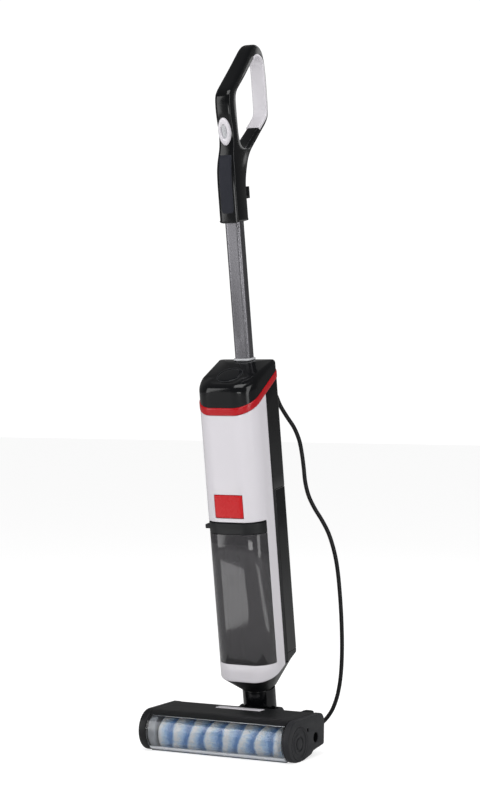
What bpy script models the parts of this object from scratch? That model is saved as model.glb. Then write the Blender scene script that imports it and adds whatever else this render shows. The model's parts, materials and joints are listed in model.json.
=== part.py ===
"""Upright wet dry floor scrubber: a roller head, a leaning body with two water tanks, and a tube handle.

Head pieces are placed in the floor frame (X along the roller, -Y to the front, Z up, roller axis at y = 0).
Body and handle pieces are placed in the body frame, whose origin is the neck pivot and whose Z runs up the body.
All lengths are in metres.
"""
import math

import bmesh
import bpy
from mathutils import Matrix, Vector

# ---- driving dimensions -------------------------------------------------------------------------------------
GAP = 0.0003                 # clearance between touching pieces
FRAME_SHIFT = 0.0583         # brings the middle of the object's depth to y = 0

HEAD_HALF = 0.136            # half the head's length
HEAD_LEFT_END = 0.014        # thickness of the drive side housing
HEAD_RIGHT_END = 0.0115      # thickness of the removable end cap
HEAD_FRONT_ARC = 0.033       # radius of the rounded front
HEAD_ARC_Y = -0.0065
ROLLER_RADIUS = 0.0275
ROLLER_Z = 0.0282
ROLLER_LEFT = -0.110
ROLLER_RIGHT = 0.1185
CHAMBER_RADIUS = 0.031
WHEEL_RADIUS = 0.022
WHEEL_X = 0.048              # from the middle to each wheel
WHEEL_Y = 0.118
WHEEL_SIDES = 32
AXLE_RADIUS = 0.0029
MOTOR_Y = 0.060              # drive motor's axis
MOTOR_Z = 0.040
MOTOR_PULLEY_RADIUS = 0.0065
ROLLER_PULLEY_RADIUS = 0.0120

PIVOT_Y = 0.124
PIVOT_Z = 0.045
LEAN = math.radians(8.8)     # forward lean of the body at rest
NECK_RADIUS = 0.027
NECK_TOP = 0.049
PIN_RADIUS = 0.0040
PIN_HOLE = 0.0043

BODY_HALF = 0.052
BODY_FRONT = -0.054
BODY_BACK = 0.049
FRONT_CORNER = 0.033
BACK_CORNER = 0.009
WALL = 0.0025
SEAM = 0.002                 # depth at which the white front meets the black back
SHELL_BOTTOM = 0.090         # height of the body's lower edge at depth 0
BOTTOM_SLOPE = 0.33
TANK_BOTTOM = 0.101
TANK_TOP = 0.334
LID_HEIGHT = 0.018
PIPE_X = -0.022
PIPE_DEPTH = -0.021
TANK_SIDE = -0.025           # depth at which the tank disappears behind the white strips
CLEAN_LOW = 0.1064           # the clean tank's flat bottom, level with the shell's lower edge at the back
CLEAN_TOP = 0.378
RING_HEIGHT = 0.5348         # lower edge of the red ring at depth 0
RING_SLOPE = 0.477
RING_THICK = 0.0118
CONSOLE_SLOPE = 0.408
CONSOLE_HEIGHT = 0.576
CONSOLE_FLAT = 0.585
DISPLAY_DEPTH = -0.018
DISPLAY_RADIUS = 0.0210
BUTTON_LOW = 0.343
BUTTON_HIGH = 0.380
BUTTON_HALF = 0.0255
MOTOR_DEPTH = -0.003         # suction motor's axis in the body
FAN_HEIGHT = 0.408
OUTLET_X = 0.018             # tank outlet under the suction motor
OUTLET_DEPTH = -0.026
FLOAT_HEIGHT = 0.244
FILLER_DEPTH = 0.030

TUBE_WIDTH = 0.028
TUBE_DEPTH = 0.020
TUBE_CENTRE = 0.0348
TUBE_LOW = 0.500
TUBE_HIGH = 0.862
STEM_LOW = 0.808
STEM_HALF = 0.017
SWITCH_DEPTH = 0.0262
SWITCH_HEIGHT = 0.9530
SWITCH_LEAN = math.radians(12)
HOOK_HEIGHT = 0.842
LOWER_HOOK_HEIGHT = 0.405
HOOK_HALF = 0.008

CORD_RADIUS = 0.0035
RELIEF_X = 0.002
RELIEF_HEIGHT = 0.530
RELIEF_LONG = 0.035
COIL_CENTRE = (-0.075, 0.262)
COIL_MIDDLE = 0.050
COIL_WIDE = 0.036
COIL_TALL = 0.025

# route of the cord in the floor frame, from the strain relief down to the coil
CORD_ROUTE = [
    (0.0020, 0.1266, 0.5817), (0.0020, 0.1345, 0.5829), (0.0020, 0.1425, 0.5836),
    (0.0020, 0.1505, 0.5829), (0.0020, 0.1581, 0.5806), (0.0020, 0.1651, 0.5767),
    (0.0020, 0.1711, 0.5715), (0.0021, 0.1846, 0.5560), (0.0049, 0.1975, 0.5405),
    (0.0125, 0.2100, 0.5222), (0.0183, 0.2195, 0.5025), (0.0210, 0.2255, 0.4828),
    (0.0225, 0.2290, 0.4631), (0.0242, 0.2310, 0.4435), (0.0258, 0.2325, 0.4238),
    (0.0296, 0.2355, 0.4041), (0.0364, 0.2415, 0.3842), (0.0462, 0.2490, 0.3642),
    (0.0553, 0.2550, 0.3443), (0.0613, 0.2590, 0.3244), (0.0662, 0.2620, 0.3045),
    (0.0705, 0.2645, 0.2750), (0.0738, 0.2665, 0.2350), (0.0760, 0.2680, 0.1900),
    (0.0765, 0.2690, 0.1450), (0.0745, 0.2695, 0.1050), (0.0690, 0.2695, 0.0700),
    (0.0590, 0.2675, 0.0400), (0.0430, 0.2620, 0.0180), (0.0240, 0.2525, 0.0065),
    (0.0060, 0.2400, 0.0038), (-0.0105, 0.2265, 0.0038),
]

FINISHES = {                 # sRGB colour, roughness, metallic
    "black_gloss": ("14161A", 0.18, 0.0),
    "black_satin": ("2A2B2F", 0.45, 0.0),
    "white_gloss": ("ECEBEF", 0.25, 0.0),
    "red_gloss": ("C4121F", 0.30, 0.0),
    "smoke_clear": ("5A595C", 0.12, 0.0),
    "clear": ("D9E2EA", 0.08, 0.0),
    "blue_cloth": ("A9C8E8", 0.95, 0.0),
    "aluminium": ("8A898C", 0.35, 1.0),
    "steel": ("B4B6BA", 0.25, 1.0),
    "rubber": ("1A1A1C", 0.80, 0.0),
    "grey_plastic": ("77787C", 0.50, 0.0),
    "board_green": ("1E5A3A", 0.55, 0.0),
}

parts = bpy.data.collections.new("wet_dry_floor_scrubber")
cutters = bpy.data.collections.new("cutters")
frames = {}


def start_scene():
    for old in list(bpy.data.objects):
        bpy.data.objects.remove(old, do_unlink=True)
    for collection in (parts, cutters):
        bpy.context.scene.collection.children.link(collection)


def linear(channel):
    return channel / 12.92 if channel <= 0.04045 else ((channel + 0.055) / 1.055) ** 2.4


def finish_material(finish):
    found = bpy.data.materials.get(finish)
    if found:
        return found
    colour, roughness, metallic = FINISHES[finish]
    material = bpy.data.materials.new(finish)
    material.use_nodes = True
    shader = material.node_tree.nodes["Principled BSDF"]
    red, green, blue = (linear(int(colour[i:i + 2], 16) / 255) for i in (0, 2, 4))
    shader.inputs["Base Color"].default_value = (red, green, blue, 1.0)
    shader.inputs["Roughness"].default_value = roughness
    shader.inputs["Metallic"].default_value = metallic
    return material


def empty(name, parent=None, location=(0, 0, 0), rotation=(0, 0, 0)):
    frame = bpy.data.objects.new(name, None)
    frame.empty_display_size = 0.02
    frame.parent = frame_named(parent)
    frame.location = location
    frame.rotation_euler = rotation
    parts.objects.link(frame)
    frames[name] = frame
    return frame


def frame_named(name):
    return frames[name] if name else None


def place(name, mesh, finish, frame, location=(0, 0, 0), rotation=(0, 0, 0)):
    """Link a finished mesh as a named part, or as a hidden cutter when it has no finish."""
    piece = bpy.data.objects.new(name, mesh)
    piece.parent = frame_named(frame)
    piece.location = location
    piece.rotation_euler = rotation
    if finish:
        mesh.materials.clear()
        mesh.materials.append(finish_material(finish))
        mesh.shade_smooth()
        mesh.set_sharp_from_angle(angle=math.radians(32))
        parts.objects.link(piece)
    else:
        piece.hide_render = True
        piece.display_type = "WIRE"
        cutters.objects.link(piece)
    return piece


def mesh_of(bm, name):
    bmesh.ops.recalc_face_normals(bm, faces=bm.faces)
    mesh = bpy.data.meshes.new(name)
    bm.to_mesh(mesh)
    bm.free()
    return mesh


# ---- shape makers -------------------------------------------------------------------------------------------
def box(name, low, high, finish, frame, round_by=0.0, **where):
    bm = bmesh.new()
    bmesh.ops.create_cube(bm, size=1.0)
    low, high = Vector(low), Vector(high)
    for vert in bm.verts:
        vert.co = Vector(low[i] + (high[i] - low[i]) * (vert.co[i] + 0.5) for i in range(3))
    if round_by:
        bmesh.ops.bevel(bm, geom=bm.edges[:], offset=round_by, segments=2, affect="EDGES", profile=0.5)
    return place(name, mesh_of(bm, name), finish, frame, **where)


def rod(name, start, end, radius, finish, frame, sides=24, end_radius=None):
    """A solid cylinder, or a cone frustum, between two points."""
    start, end = Vector(start), Vector(end)
    bm = bmesh.new()
    bmesh.ops.create_cone(bm, cap_ends=True, segments=sides, radius1=radius, radius2=end_radius or radius,
                          depth=(end - start).length)
    bmesh.ops.rotate(bm, verts=bm.verts, matrix=Matrix.Rotation(math.pi / sides, 3, "Z"))
    turn = Vector((0, 0, 1)).rotation_difference(end - start).to_matrix().to_4x4()
    bmesh.ops.transform(bm, verts=bm.verts, matrix=Matrix.Translation((start + end) / 2) @ turn)
    return place(name, mesh_of(bm, name), finish, frame)


def turned(name, profile, finish, frame, steps=32, location=(0, 0, 0), rotation=(0, 0, 0)):
    """A profile of (radius, height) points, down its outer side, turned about the piece's own Z."""
    mesh = bpy.data.meshes.new(name)
    count = len(profile)
    closed = profile[0][0] > 1e-6
    edges = [(i, i + 1) for i in range(count - 1)]
    if closed:
        edges.append((count - 1, 0))
    mesh.from_pydata([(radius, 0.0, height) for radius, height in profile], edges, [])
    piece = place(name, mesh, None, frame, location, rotation)
    screw = piece.modifiers.new("Turn", "SCREW")
    screw.axis = "Z"
    screw.steps = screw.render_steps = steps
    screw.use_merge_vertices = True
    screw.merge_threshold = 0.00001
    return solidified(piece, name, finish, frame)


def solidified(source, name, finish, frame):
    """Replace a curve or a modified object by its evaluated mesh, with its seams welded."""
    bpy.context.view_layer.update()
    evaluated = source.evaluated_get(bpy.context.evaluated_depsgraph_get())
    mesh = bpy.data.meshes.new_from_object(evaluated)
    bm = bmesh.new()
    bm.from_mesh(mesh)
    bmesh.ops.remove_doubles(bm, verts=bm.verts, dist=0.00001)
    location, rotation = source.location.copy(), source.rotation_euler.copy()
    bpy.data.objects.remove(source, do_unlink=True)
    return place(name, mesh_of(bm, name), finish, frame, location, rotation)


def extruded(name, loops, low, high, finish, frame, low_slope=0.0, high_slope=0.0, axis="Z", half_at=None,
             round_by=0.0):
    """Flat outlines, the first around the outside and the rest around holes, drawn out along one axis.

    With axis Z the outlines are (x, depth) points and each end may slope with depth.
    With axis X they are (depth, height) points.
    half_at gives a share of the full half width for each (depth, height), and round_by rounds the rims.
    """
    curve = bpy.data.curves.new(name, "CURVE")
    curve.dimensions = "2D"
    curve.fill_mode = "BOTH"
    curve.extrude = (high - low) / 2 - round_by
    curve.bevel_depth = round_by
    curve.bevel_resolution = 1
    curve.offset = -round_by
    for loop in loops:
        spline = curve.splines.new("POLY")
        spline.points.add(len(loop) - 1)
        for point, (first, second) in zip(spline.points, loop):
            point.co = (first, second, 0.0, 1.0)
        spline.use_cyclic_u = True
    piece = solidified(place(name, curve, None, frame), name, None, frame)
    mesh = piece.data
    middle = (high + low) / 2
    for vert in mesh.vertices:
        first, second, along = vert.co
        if axis == "Z":
            slope = high_slope if along > 0 else low_slope
            vert.co = (first, second, middle + along + slope * second)
        else:
            share = half_at(first, second) if half_at else 1.0
            vert.co = (middle + along * share, first, second)
    bpy.data.objects.remove(piece, do_unlink=True)
    return place(name, mesh, finish, frame)


def arc(centre, radius, start, stop, steps):
    """Points on a circle, between two angles in degrees."""
    angles = [math.radians(start + (stop - start) * i / steps) for i in range(steps + 1)]
    return [(centre[0] + radius * math.cos(a), centre[1] + radius * math.sin(a)) for a in angles]


def rounded_rectangle(half_x, half_y, radius, steps=4, centre=(0.0, 0.0)):
    points = []
    for sign_x, sign_y, start in ((1, 1, 0), (-1, 1, 90), (-1, -1, 180), (1, -1, 270)):
        corner = (centre[0] + sign_x * (half_x - radius), centre[1] + sign_y * (half_y - radius))
        points += arc(corner, radius, start, start + 90, steps)
    return points


def body_outline(inset=0.0, front_steps=7, back_steps=3):
    """The body's section, drawn in by inset: wide round corners in front, small ones behind."""
    half, front, back = BODY_HALF - inset, BODY_FRONT + inset, BODY_BACK - inset
    front_r, back_r = FRONT_CORNER - inset, max(BACK_CORNER - inset, 0.001)
    points = arc((half - back_r, back - back_r), back_r, 0, 90, back_steps)
    points += arc((-half + back_r, back - back_r), back_r, 90, 180, back_steps)
    points += arc((-half + front_r, front + front_r), front_r, 180, 270, front_steps)
    points += arc((half - front_r, front + front_r), front_r, 270, 360, front_steps)
    return points


def front_part(inset, depth, front_steps=7):
    """The section's front from one side at the given depth round to the other."""
    half, front = BODY_HALF - inset, BODY_FRONT + inset
    radius = FRONT_CORNER - inset
    middle = front + radius
    skipped = math.degrees(math.asin(max(middle - depth, 0.0) / radius))
    left = arc((-half + radius, middle), radius, 180 + skipped, 270, front_steps)
    right = arc((half - radius, middle), radius, 270, 360 - skipped, front_steps)
    if skipped:
        return left + right
    return [(-half, depth)] + left + right + [(half, depth)]


def back_part(inset, depth):
    half, back = BODY_HALF - inset, BODY_BACK - inset
    radius = BACK_CORNER - inset
    right = arc((half - radius, back - radius), radius, 0, 90, 3)
    left = arc((-half + radius, back - radius), radius, 90, 180, 3)
    return [(half, depth)] + right + left + [(-half, depth)]


def cut(piece, cutter):
    change = piece.modifiers.new("Cut", "BOOLEAN")
    change.operation = "DIFFERENCE"
    change.solver = "EXACT"
    change.object = cutter


def join(piece, other):
    change = piece.modifiers.new("Join", "BOOLEAN")
    change.operation = "UNION"
    change.solver = "EXACT"
    change.object = other


def smooth_route(points, spacing):
    """Even points along a smooth curve through the route's own points."""
    points = [Vector(point) for point in points]
    padded = [2 * points[0] - points[1]] + points + [2 * points[-1] - points[-2]]
    fine = []
    for i in range(1, len(padded) - 2):
        before, here, after, later = padded[i - 1:i + 3]
        for step in range(12):
            t = step / 12
            fine.append(0.5 * (2 * here + (after - before) * t
                               + (2 * before - 5 * here + 4 * after - later) * t ** 2
                               + (3 * here - before - 3 * after + later) * t ** 3))
    fine.append(points[-1])
    length = sum((b - a).length for a, b in zip(fine, fine[1:]))
    count = round(length / spacing)
    even, travelled, target = [fine[0]], 0.0, length / count
    for a, b in zip(fine, fine[1:]):
        step = (b - a).length
        while travelled + step >= target - 1e-9 and len(even) < count:
            even.append(a.lerp(b, (target - travelled) / step))
            target += length / count
        travelled += step
    return even + [fine[-1]]


def wire(name, points, radius, finish, frame, cyclic=False, sides=2):
    curve = bpy.data.curves.new(name, "CURVE")
    curve.dimensions = "3D"
    curve.bevel_depth = radius
    curve.bevel_resolution = sides
    curve.use_fill_caps = not cyclic
    curve.render_resolution_u = 0
    spline = curve.splines.new("POLY")
    spline.points.add(len(points) - 1)
    for point, place_at in zip(spline.points, points):
        point.co = (*place_at, 1.0)
    spline.use_cyclic_u = cyclic
    return solidified(place(name, curve, None, frame), name, finish, frame)


# ---- head ---------------------------------------------------------------------------------------------------
def end_outline(inset=0.0):
    """Side view of the head: round front, flat top, stepped underside that clears the floor behind."""
    radius = HEAD_FRONT_ARC - inset
    front = arc((HEAD_ARC_Y, HEAD_FRONT_ARC), radius, 270, 90, 12)
    rear_top = arc((0.0705, 0.052), 0.0155 - inset, 84, 2, 4)
    foot = [(0.0845 - inset, 0.0165 + inset), (0.047, 0.0106 + inset), (0.042, 0.0060 + inset), (0.014, inset)]
    return front + rear_top + foot


def chamber_arc(radius, start, stop, steps):
    return arc((0.0, ROLLER_Z), radius, start, stop, steps)


def make_head_housing():
    left, right = -HEAD_HALF + HEAD_LEFT_END + GAP, HEAD_HALF - HEAD_RIGHT_END - GAP
    outer = [(-0.0135, 0.0650), (HEAD_ARC_Y, 0.0658)] + arc((0.0700, 0.0520), 0.0150, 84, 2, 4)
    outer += [(0.0840, 0.0172), (0.047, 0.0112), (0.042, 0.0066), (0.0262, 0.0060)]
    chamber = chamber_arc(CHAMBER_RADIUS, -40, 114, 12)
    hollow = chamber_arc(0.0335, -8, 66, 6)
    hollow += [(0.0150, 0.0632), (0.0680, 0.0645), (0.0770, 0.0605), (0.0815, 0.0520), (0.0815, 0.0198),
               (0.0500, 0.0140), (0.0380, 0.0135)]
    housing = extruded("head_housing", [outer + chamber, hollow], left, right, "black_satin", "head_frame",
                       axis="X")
    cut(housing, box("duct_way_cutter", (-0.0180, 0.0200, 0.0197), (0.0180, 0.0950, 0.0403), None, "head_frame"))
    cut(housing, box("badge_seat_cutter", (-0.0415, 0.0440, 0.0655), (0.0415, 0.0620, 0.0700), None, "head_frame"))


def make_head_ends():
    left_face = -HEAD_HALF
    left = extruded("left_end_housing", [end_outline()], left_face, left_face + HEAD_LEFT_END, "black_satin",
                    "head_frame", axis="X")
    pocket = extruded("left_pocket_cutter", [end_outline(0.0030)], left_face + 0.0022, left_face + 0.0118, None,
                      "head_frame", axis="X")
    cut(left, pocket)
    shaft_way = rod("left_shaft_cutter", (left_face + 0.005, 0, ROLLER_Z), (-0.100, 0, ROLLER_Z), 0.0056, None,
                    "head_frame")
    cut(left, shaft_way)
    motor_way = rod("left_motor_cutter", (left_face + 0.005, MOTOR_Y, MOTOR_Z), (-0.100, MOTOR_Y, MOTOR_Z), 0.0052,
                    None, "head_frame")
    cut(left, motor_way)

    right = extruded("right_end_cap", [end_outline()], HEAD_HALF - HEAD_RIGHT_END, HEAD_HALF, "black_satin",
                     "head_frame", axis="X")
    bearing_seat = rod("bearing_seat_cutter", (0.110, 0, ROLLER_Z), (0.1315, 0, ROLLER_Z), 0.0093, None,
                       "head_frame")
    cut(right, bearing_seat)
    hub_recess = turned("hub_recess_cutter", [(0.0125, 0.010), (0.0125, 0.0), (0.0095, 0.0), (0.0095, 0.010)],
                        None, "head_frame", location=(HEAD_HALF - 0.0012, 0, ROLLER_Z),
                        rotation=(0, math.radians(90), 0))
    cut(right, hub_recess)
    screw_hole = rod("cap_hole_cutter", (0.131, 0.0560, 0.0310), (0.140, 0.0560, 0.0310), 0.0078, None,
                     "head_frame")
    cut(right, screw_hole)
    small_hole = rod("cap_small_hole_cutter", (0.133, 0.0280, 0.0455), (0.140, 0.0280, 0.0455), 0.0026, None,
                     "head_frame", sides=12)
    cut(right, small_hole)


def make_roller_cover():
    """The clear window and the dark band above it lift off together."""
    centre = (HEAD_ARC_Y, HEAD_FRONT_ARC)
    outer = arc(centre, HEAD_FRONT_ARC, 129, 247, 15)
    inner = arc(centre, HEAD_FRONT_ARC - 0.0018, 247, 129, 15)
    lip = [(-0.0225, 0.0010), (-0.0170, 0.0012), (-0.0172, 0.0046)]
    left, right = -HEAD_HALF + HEAD_LEFT_END + 2 * GAP, HEAD_HALF - HEAD_RIGHT_END - 2 * GAP
    extruded("roller_window", [outer + lip + inner], left, right, "clear", "cover_frame", axis="X")
    band = arc(centre, HEAD_FRONT_ARC, 104, 128.3, 4) + arc(centre, HEAD_FRONT_ARC - 0.0030, 128.3, 106, 4)
    extruded("cover_band", [band], left, right, "black_satin", "cover_frame", axis="X")


def make_head_fittings():
    box("badge_strip", (-0.0410, 0.0444, 0.0659), (0.0410, 0.0616, 0.0671), "white_gloss", "head_frame")
    squeegee = [(0.0190, 0.0008), (0.0215, 0.0006), (0.0262, 0.0040), (0.0385, 0.0042), (0.0385, 0.0055),
                (0.0245, 0.0056)]
    extruded("squeegee", [squeegee], -0.118, 0.120, "rubber", "head_frame", axis="X")
    rod("spray_bar", (-0.108, 0.0235, 0.0452), (0.116, 0.0235, 0.0452), 0.0012, "grey_plastic", "head_frame",
        sides=10)
    duct = box("suction_duct", (-0.0177, 0.0330, 0.0200), (0.0177, 0.1050, 0.0400), "grey_plastic", "head_frame")
    cut(duct, box("duct_bore_cutter", (-0.0155, 0.0200, 0.0222), (0.0155, 0.1200, 0.0378), None, "head_frame"))
    rod("drive_motor", (-0.088, MOTOR_Y, MOTOR_Z), (-0.024, MOTOR_Y, MOTOR_Z), 0.0155, "steel", "head_frame",
        sides=28)


def make_drive():
    """Motor pulley, toothed belt and roller pulley in the drive side housing."""
    belt_low, belt_high = -HEAD_HALF + 0.0045, -HEAD_HALF + 0.0095
    motor_at, roller_at = Vector((MOTOR_Y, MOTOR_Z)), Vector((0.0, ROLLER_Z))
    pulley = rod("motor_pulley", (belt_low, 0, 0), (belt_high, 0, 0), MOTOR_PULLEY_RADIUS, "steel", "motor_axis",
                 sides=20)
    join(pulley, rod("motor_shaft_guide", (belt_high - 0.001, 0, 0), (-0.0885, 0, 0), 0.0025, None, "motor_axis",
                     sides=16))
    hub = rod("roller_pulley", (belt_low, 0, 0), (belt_high, 0, 0), ROLLER_PULLEY_RADIUS, "grey_plastic",
              "roller_axis", sides=28)
    join(hub, rod("roller_shaft_guide", (belt_high - 0.001, 0, 0), (ROLLER_LEFT - GAP, 0, 0), 0.0050, None,
                  "roller_axis", sides=16))
    span = (roller_at - motor_at).length
    direction = math.degrees(math.atan2(roller_at.y - motor_at.y, roller_at.x - motor_at.x))
    loops = []
    for grow in (0.0020, 0.0004):
        lean = math.degrees(math.asin((ROLLER_PULLEY_RADIUS - MOTOR_PULLEY_RADIUS) / span))
        around_roller = arc(roller_at, ROLLER_PULLEY_RADIUS + grow, direction - 90 - lean,
                            direction + 90 + lean, 14)
        around_motor = arc(motor_at, MOTOR_PULLEY_RADIUS + grow, direction + 90 + lean,
                           direction + 270 - lean, 10)
        loops.append(around_roller + around_motor)
    extruded("drive_belt", loops, belt_low + GAP, belt_high - GAP, "rubber", "head_frame", axis="X")


def make_roller():
    core = rod("roller_core", (ROLLER_LEFT, 0, 0), (ROLLER_RIGHT, 0, 0), 0.0195, "grey_plastic", "roller_axis",
               sides=28)
    cut(core, rod("core_bore_cutter", (ROLLER_LEFT - 0.010, 0, 0), (0.130, 0, 0), 0.0165, None, "roller_axis"))
    end = rod("roller_stub_guide", (ROLLER_RIGHT - 0.006, 0, 0), (0.1308, 0, 0), 0.0040, None, "roller_axis",
              sides=16)
    join(core, rod("roller_end_guide", (ROLLER_RIGHT - 0.006, 0, 0), (ROLLER_RIGHT - 0.001, 0, 0), 0.0172, None,
                   "roller_axis", sides=28))
    join(core, end)
    sleeve_low, sleeve_high = ROLLER_LEFT + 0.002, ROLLER_RIGHT - 0.002
    turned("roller_sleeve", [(ROLLER_RADIUS, sleeve_high), (ROLLER_RADIUS, sleeve_low), (0.0198, sleeve_low),
                             (0.0198, sleeve_high)],
           "blue_cloth", "roller_axis", steps=36, rotation=(0, math.radians(90), 0))
    turned("roller_bearing", [(0.0090, 0.0065), (0.0090, 0.0), (0.0043, 0.0), (0.0043, 0.0065)], "steel",
           "head_frame", steps=24, location=(0.1247, 0, ROLLER_Z), rotation=(0, math.radians(90), 0))


def make_wheels():
    for side, sign in (("left", -1), ("right", 1)):
        radius = WHEEL_RADIUS / math.cos(math.pi / WHEEL_SIDES)
        profile = [(radius - 0.002, 0.007), (radius, 0.005), (radius, -0.005), (radius - 0.002, -0.007),
                   (0.0033, -0.007), (0.0033, 0.007)]
        turned(f"wheel_{side}", profile, "rubber", f"wheel_{side}_axis", steps=WHEEL_SIDES,
               rotation=(0, math.radians(90), 0))
        axis = frames[f"wheel_{side}_axis"]
        axis.location = (sign * WHEEL_X, WHEEL_Y, WHEEL_RADIUS)
        axis.rotation_euler = (math.pi / WHEEL_SIDES, 0, 0)
    rod("wheel_axle", (-0.0565, WHEEL_Y, WHEEL_RADIUS), (0.0565, WHEEL_Y, WHEEL_RADIUS), AXLE_RADIUS, "steel",
        "head_frame", sides=16)


def make_neck_bracket():
    """Back plate with two cheeks that carry the neck pins above and the wheel axle below."""
    pivot = (PIVOT_Y, PIVOT_Z)
    cheek = [(0.0865, 0.0200), (0.0865, 0.0610)] + arc(pivot, 0.0175, 120, -30, 9)
    cheek += arc((WHEEL_Y, WHEEL_RADIUS), 0.0085, 0, -90, 4) + [(0.098, 0.0180)]
    bracket = box("neck_bracket", (-0.0400, 0.0862, 0.0205), (0.0400, 0.0925, 0.0600), "black_satin",
                  "head_frame")
    for side, inner in (("left", -0.0355), ("right", 0.0295)):
        join(bracket, extruded(f"cheek_{side}_guide", [cheek], inner, inner + 0.006, None, "head_frame", axis="X"))
    cut(bracket, box("bracket_duct_cutter", (-0.0180, 0.0800, 0.0197), (0.0180, 0.1000, 0.0403), None,
                     "head_frame"))
    cut(bracket, rod("bracket_pin_cutter", (-0.060, *pivot), (0.060, *pivot), PIN_HOLE, None, "head_frame"))
    cut(bracket, rod("bracket_axle_cutter", (-0.060, WHEEL_Y, WHEEL_RADIUS), (0.060, WHEEL_Y, WHEEL_RADIUS),
                     AXLE_RADIUS + GAP, None, "head_frame", sides=20))
    for side, sign in (("left", -1), ("right", 1)):
        pin = rod(f"neck_pin_{side}", (sign * 0.0215, *pivot), (sign * 0.0375, *pivot), PIN_RADIUS, "steel",
                  "head_frame", sides=20)
        join(pin, rod(f"neck_pin_{side}_head_guide", (sign * 0.0358, *pivot), (sign * 0.0378, *pivot), 0.0068,
                      None, "head_frame", sides=20))


# ---- neck ---------------------------------------------------------------------------------------------------
def make_neck():
    yoke = turned("neck_yoke", [(NECK_RADIUS, NECK_TOP), (NECK_RADIUS, 0.0175), (0.0215, 0.0150),
                                (0.0215, NECK_TOP)],
                  "black_gloss", "neck_frame", steps=32)
    for side, inner in (("left", -0.0288), ("right", 0.0223)):
        arm = [(-0.0150, 0.0215)] + arc((0.0, 0.0), 0.0150, 180, 360, 10) + [(0.0150, 0.0215)]
        join(yoke, extruded(f"arm_{side}_guide", [arm], inner, inner + 0.0065, None, "neck_frame", axis="X"))
    cut(yoke, rod("yoke_pin_cutter", (-0.060, 0, 0), (0.060, 0, 0), PIN_HOLE, None, "neck_frame"))
    hose = [(0.0165, 0.0480)]
    for i in range(6):
        high = 0.0465 - i * 0.0058
        hose += [(0.0185, high), (0.0185, high - 0.0022), (0.0165, high - 0.0030), (0.0165, high - 0.0050)]
    hose += [(0.0150, 0.0115), (0.0150, 0.0480)]
    turned("neck_hose", hose, "rubber", "neck_frame", steps=20)


def make_bottom_funnel():
    """Loft from the body's sloping lower edge to the round top of the neck, with a hollow through it."""
    def section(share, inset, height):
        ring = []
        for x, depth in body_outline(0.0006 + inset):
            top = SHELL_BOTTOM - GAP * 2 + BOTTOM_SLOPE * depth
            away = Vector((x, depth))
            circle = away.normalized() * (NECK_RADIUS + 0.0012 - inset)
            blend = away.lerp(circle, share)
            ring.append((blend.x, blend.y, top + (height - top) * share))
        return ring

    low = NECK_TOP + GAP
    rows = [section(share, 0.0, low) for share in (0.0, 0.25, 0.55, 0.82, 1.0)]
    rows += [section(share, 0.0040, low) for share in (1.0, 0.70, 0.35, 0.0)]
    bm = bmesh.new()
    rings = [[bm.verts.new(point) for point in row] for row in rows]
    count = len(rings[0])
    for one, other in zip(rings, rings[1:] + rings[:1]):
        for i in range(count):
            j = (i + 1) % count
            bm.faces.new((one[i], one[j], other[j], other[i]))
    funnel = place("bottom_funnel", mesh_of(bm, "bottom_funnel"), "black_satin", "body_frame")
    join(funnel, extruded("funnel_rest_guide", [back_part(0.0006, 0.0112)], SHELL_BOTTOM - 0.003, CLEAN_LOW - GAP,
                          None, "body_frame", low_slope=BOTTOM_SLOPE))


# ---- body ---------------------------------------------------------------------------------------------------
def make_front_shell():
    top = RING_HEIGHT - GAP
    loop = front_part(0.0, SEAM) + front_part(WALL, SEAM)[::-1]
    shell = extruded("front_shell", [loop], SHELL_BOTTOM, top, "white_gloss", "body_frame",
                     low_slope=BOTTOM_SLOPE, high_slope=RING_SLOPE)
    tray = extruded("tank_tray_guide", [front_part(0.0015, SEAM - 0.0004)], TANK_BOTTOM - 0.0036,
                    TANK_BOTTOM - 0.0006, None, "body_frame")
    join(shell, tray)
    opening = box("tank_opening_cutter", (-0.070, -0.080, TANK_BOTTOM - 0.0003),
                  (0.070, TANK_SIDE, TANK_TOP + 0.0020), None, "body_frame")
    cut(shell, opening)
    pocket = box("button_opening_cutter", (-BUTTON_HALF - 0.0005, -0.080, BUTTON_LOW - 0.0005),
                 (BUTTON_HALF + 0.0005, -0.040, BUTTON_HIGH + 0.0005), None, "body_frame")
    cut(shell, pocket)
    cut(shell, rod("tray_hole_cutter", (PIPE_X, PIPE_DEPTH, 0.080), (PIPE_X, PIPE_DEPTH, 0.120), 0.0100, None,
                   "body_frame"))


def make_back_shell():
    top = RING_HEIGHT - GAP
    loop = back_part(0.0, SEAM + GAP) + back_part(WALL, SEAM + GAP)[::-1]
    shell = extruded("back_shell", [loop], CLEAN_TOP + 0.003, top, "black_gloss", "body_frame",
                     high_slope=RING_SLOPE)
    for row in range(6):
        low = 0.432 + row * 0.008
        slot = box(f"vent_{row}_cutter", (-0.024, 0.040, low), (0.024, 0.056, low + 0.003), None, "body_frame")
        cut(shell, slot)


def make_chassis():
    """Inner frame: an upright plate that closes the tank bay and a shelf under the suction motor."""
    front, back = SEAM + GAP * 2, 0.0106
    low = SHELL_BOTTOM + BOTTOM_SLOPE * back + 0.0008
    plate = box("chassis", (-0.0518, front, low), (0.0518, back, CLEAN_TOP + 0.0020), "black_satin", "body_frame")
    shelf = extruded("motor_shelf_guide", [body_outline(0.0046)], 0.3850, 0.3890, None, "body_frame")
    join(plate, box("chassis_neck_guide", (-0.0460, front + 0.0002, 0.370), (0.0460, back - 0.0002, 0.3870), None,
                    "body_frame"))
    join(plate, shelf)
    cut(plate, rod("shelf_hole_cutter", (OUTLET_X, OUTLET_DEPTH, 0.380), (OUTLET_X, OUTLET_DEPTH, 0.395), 0.0120,
                   None, "body_frame"))


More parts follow.
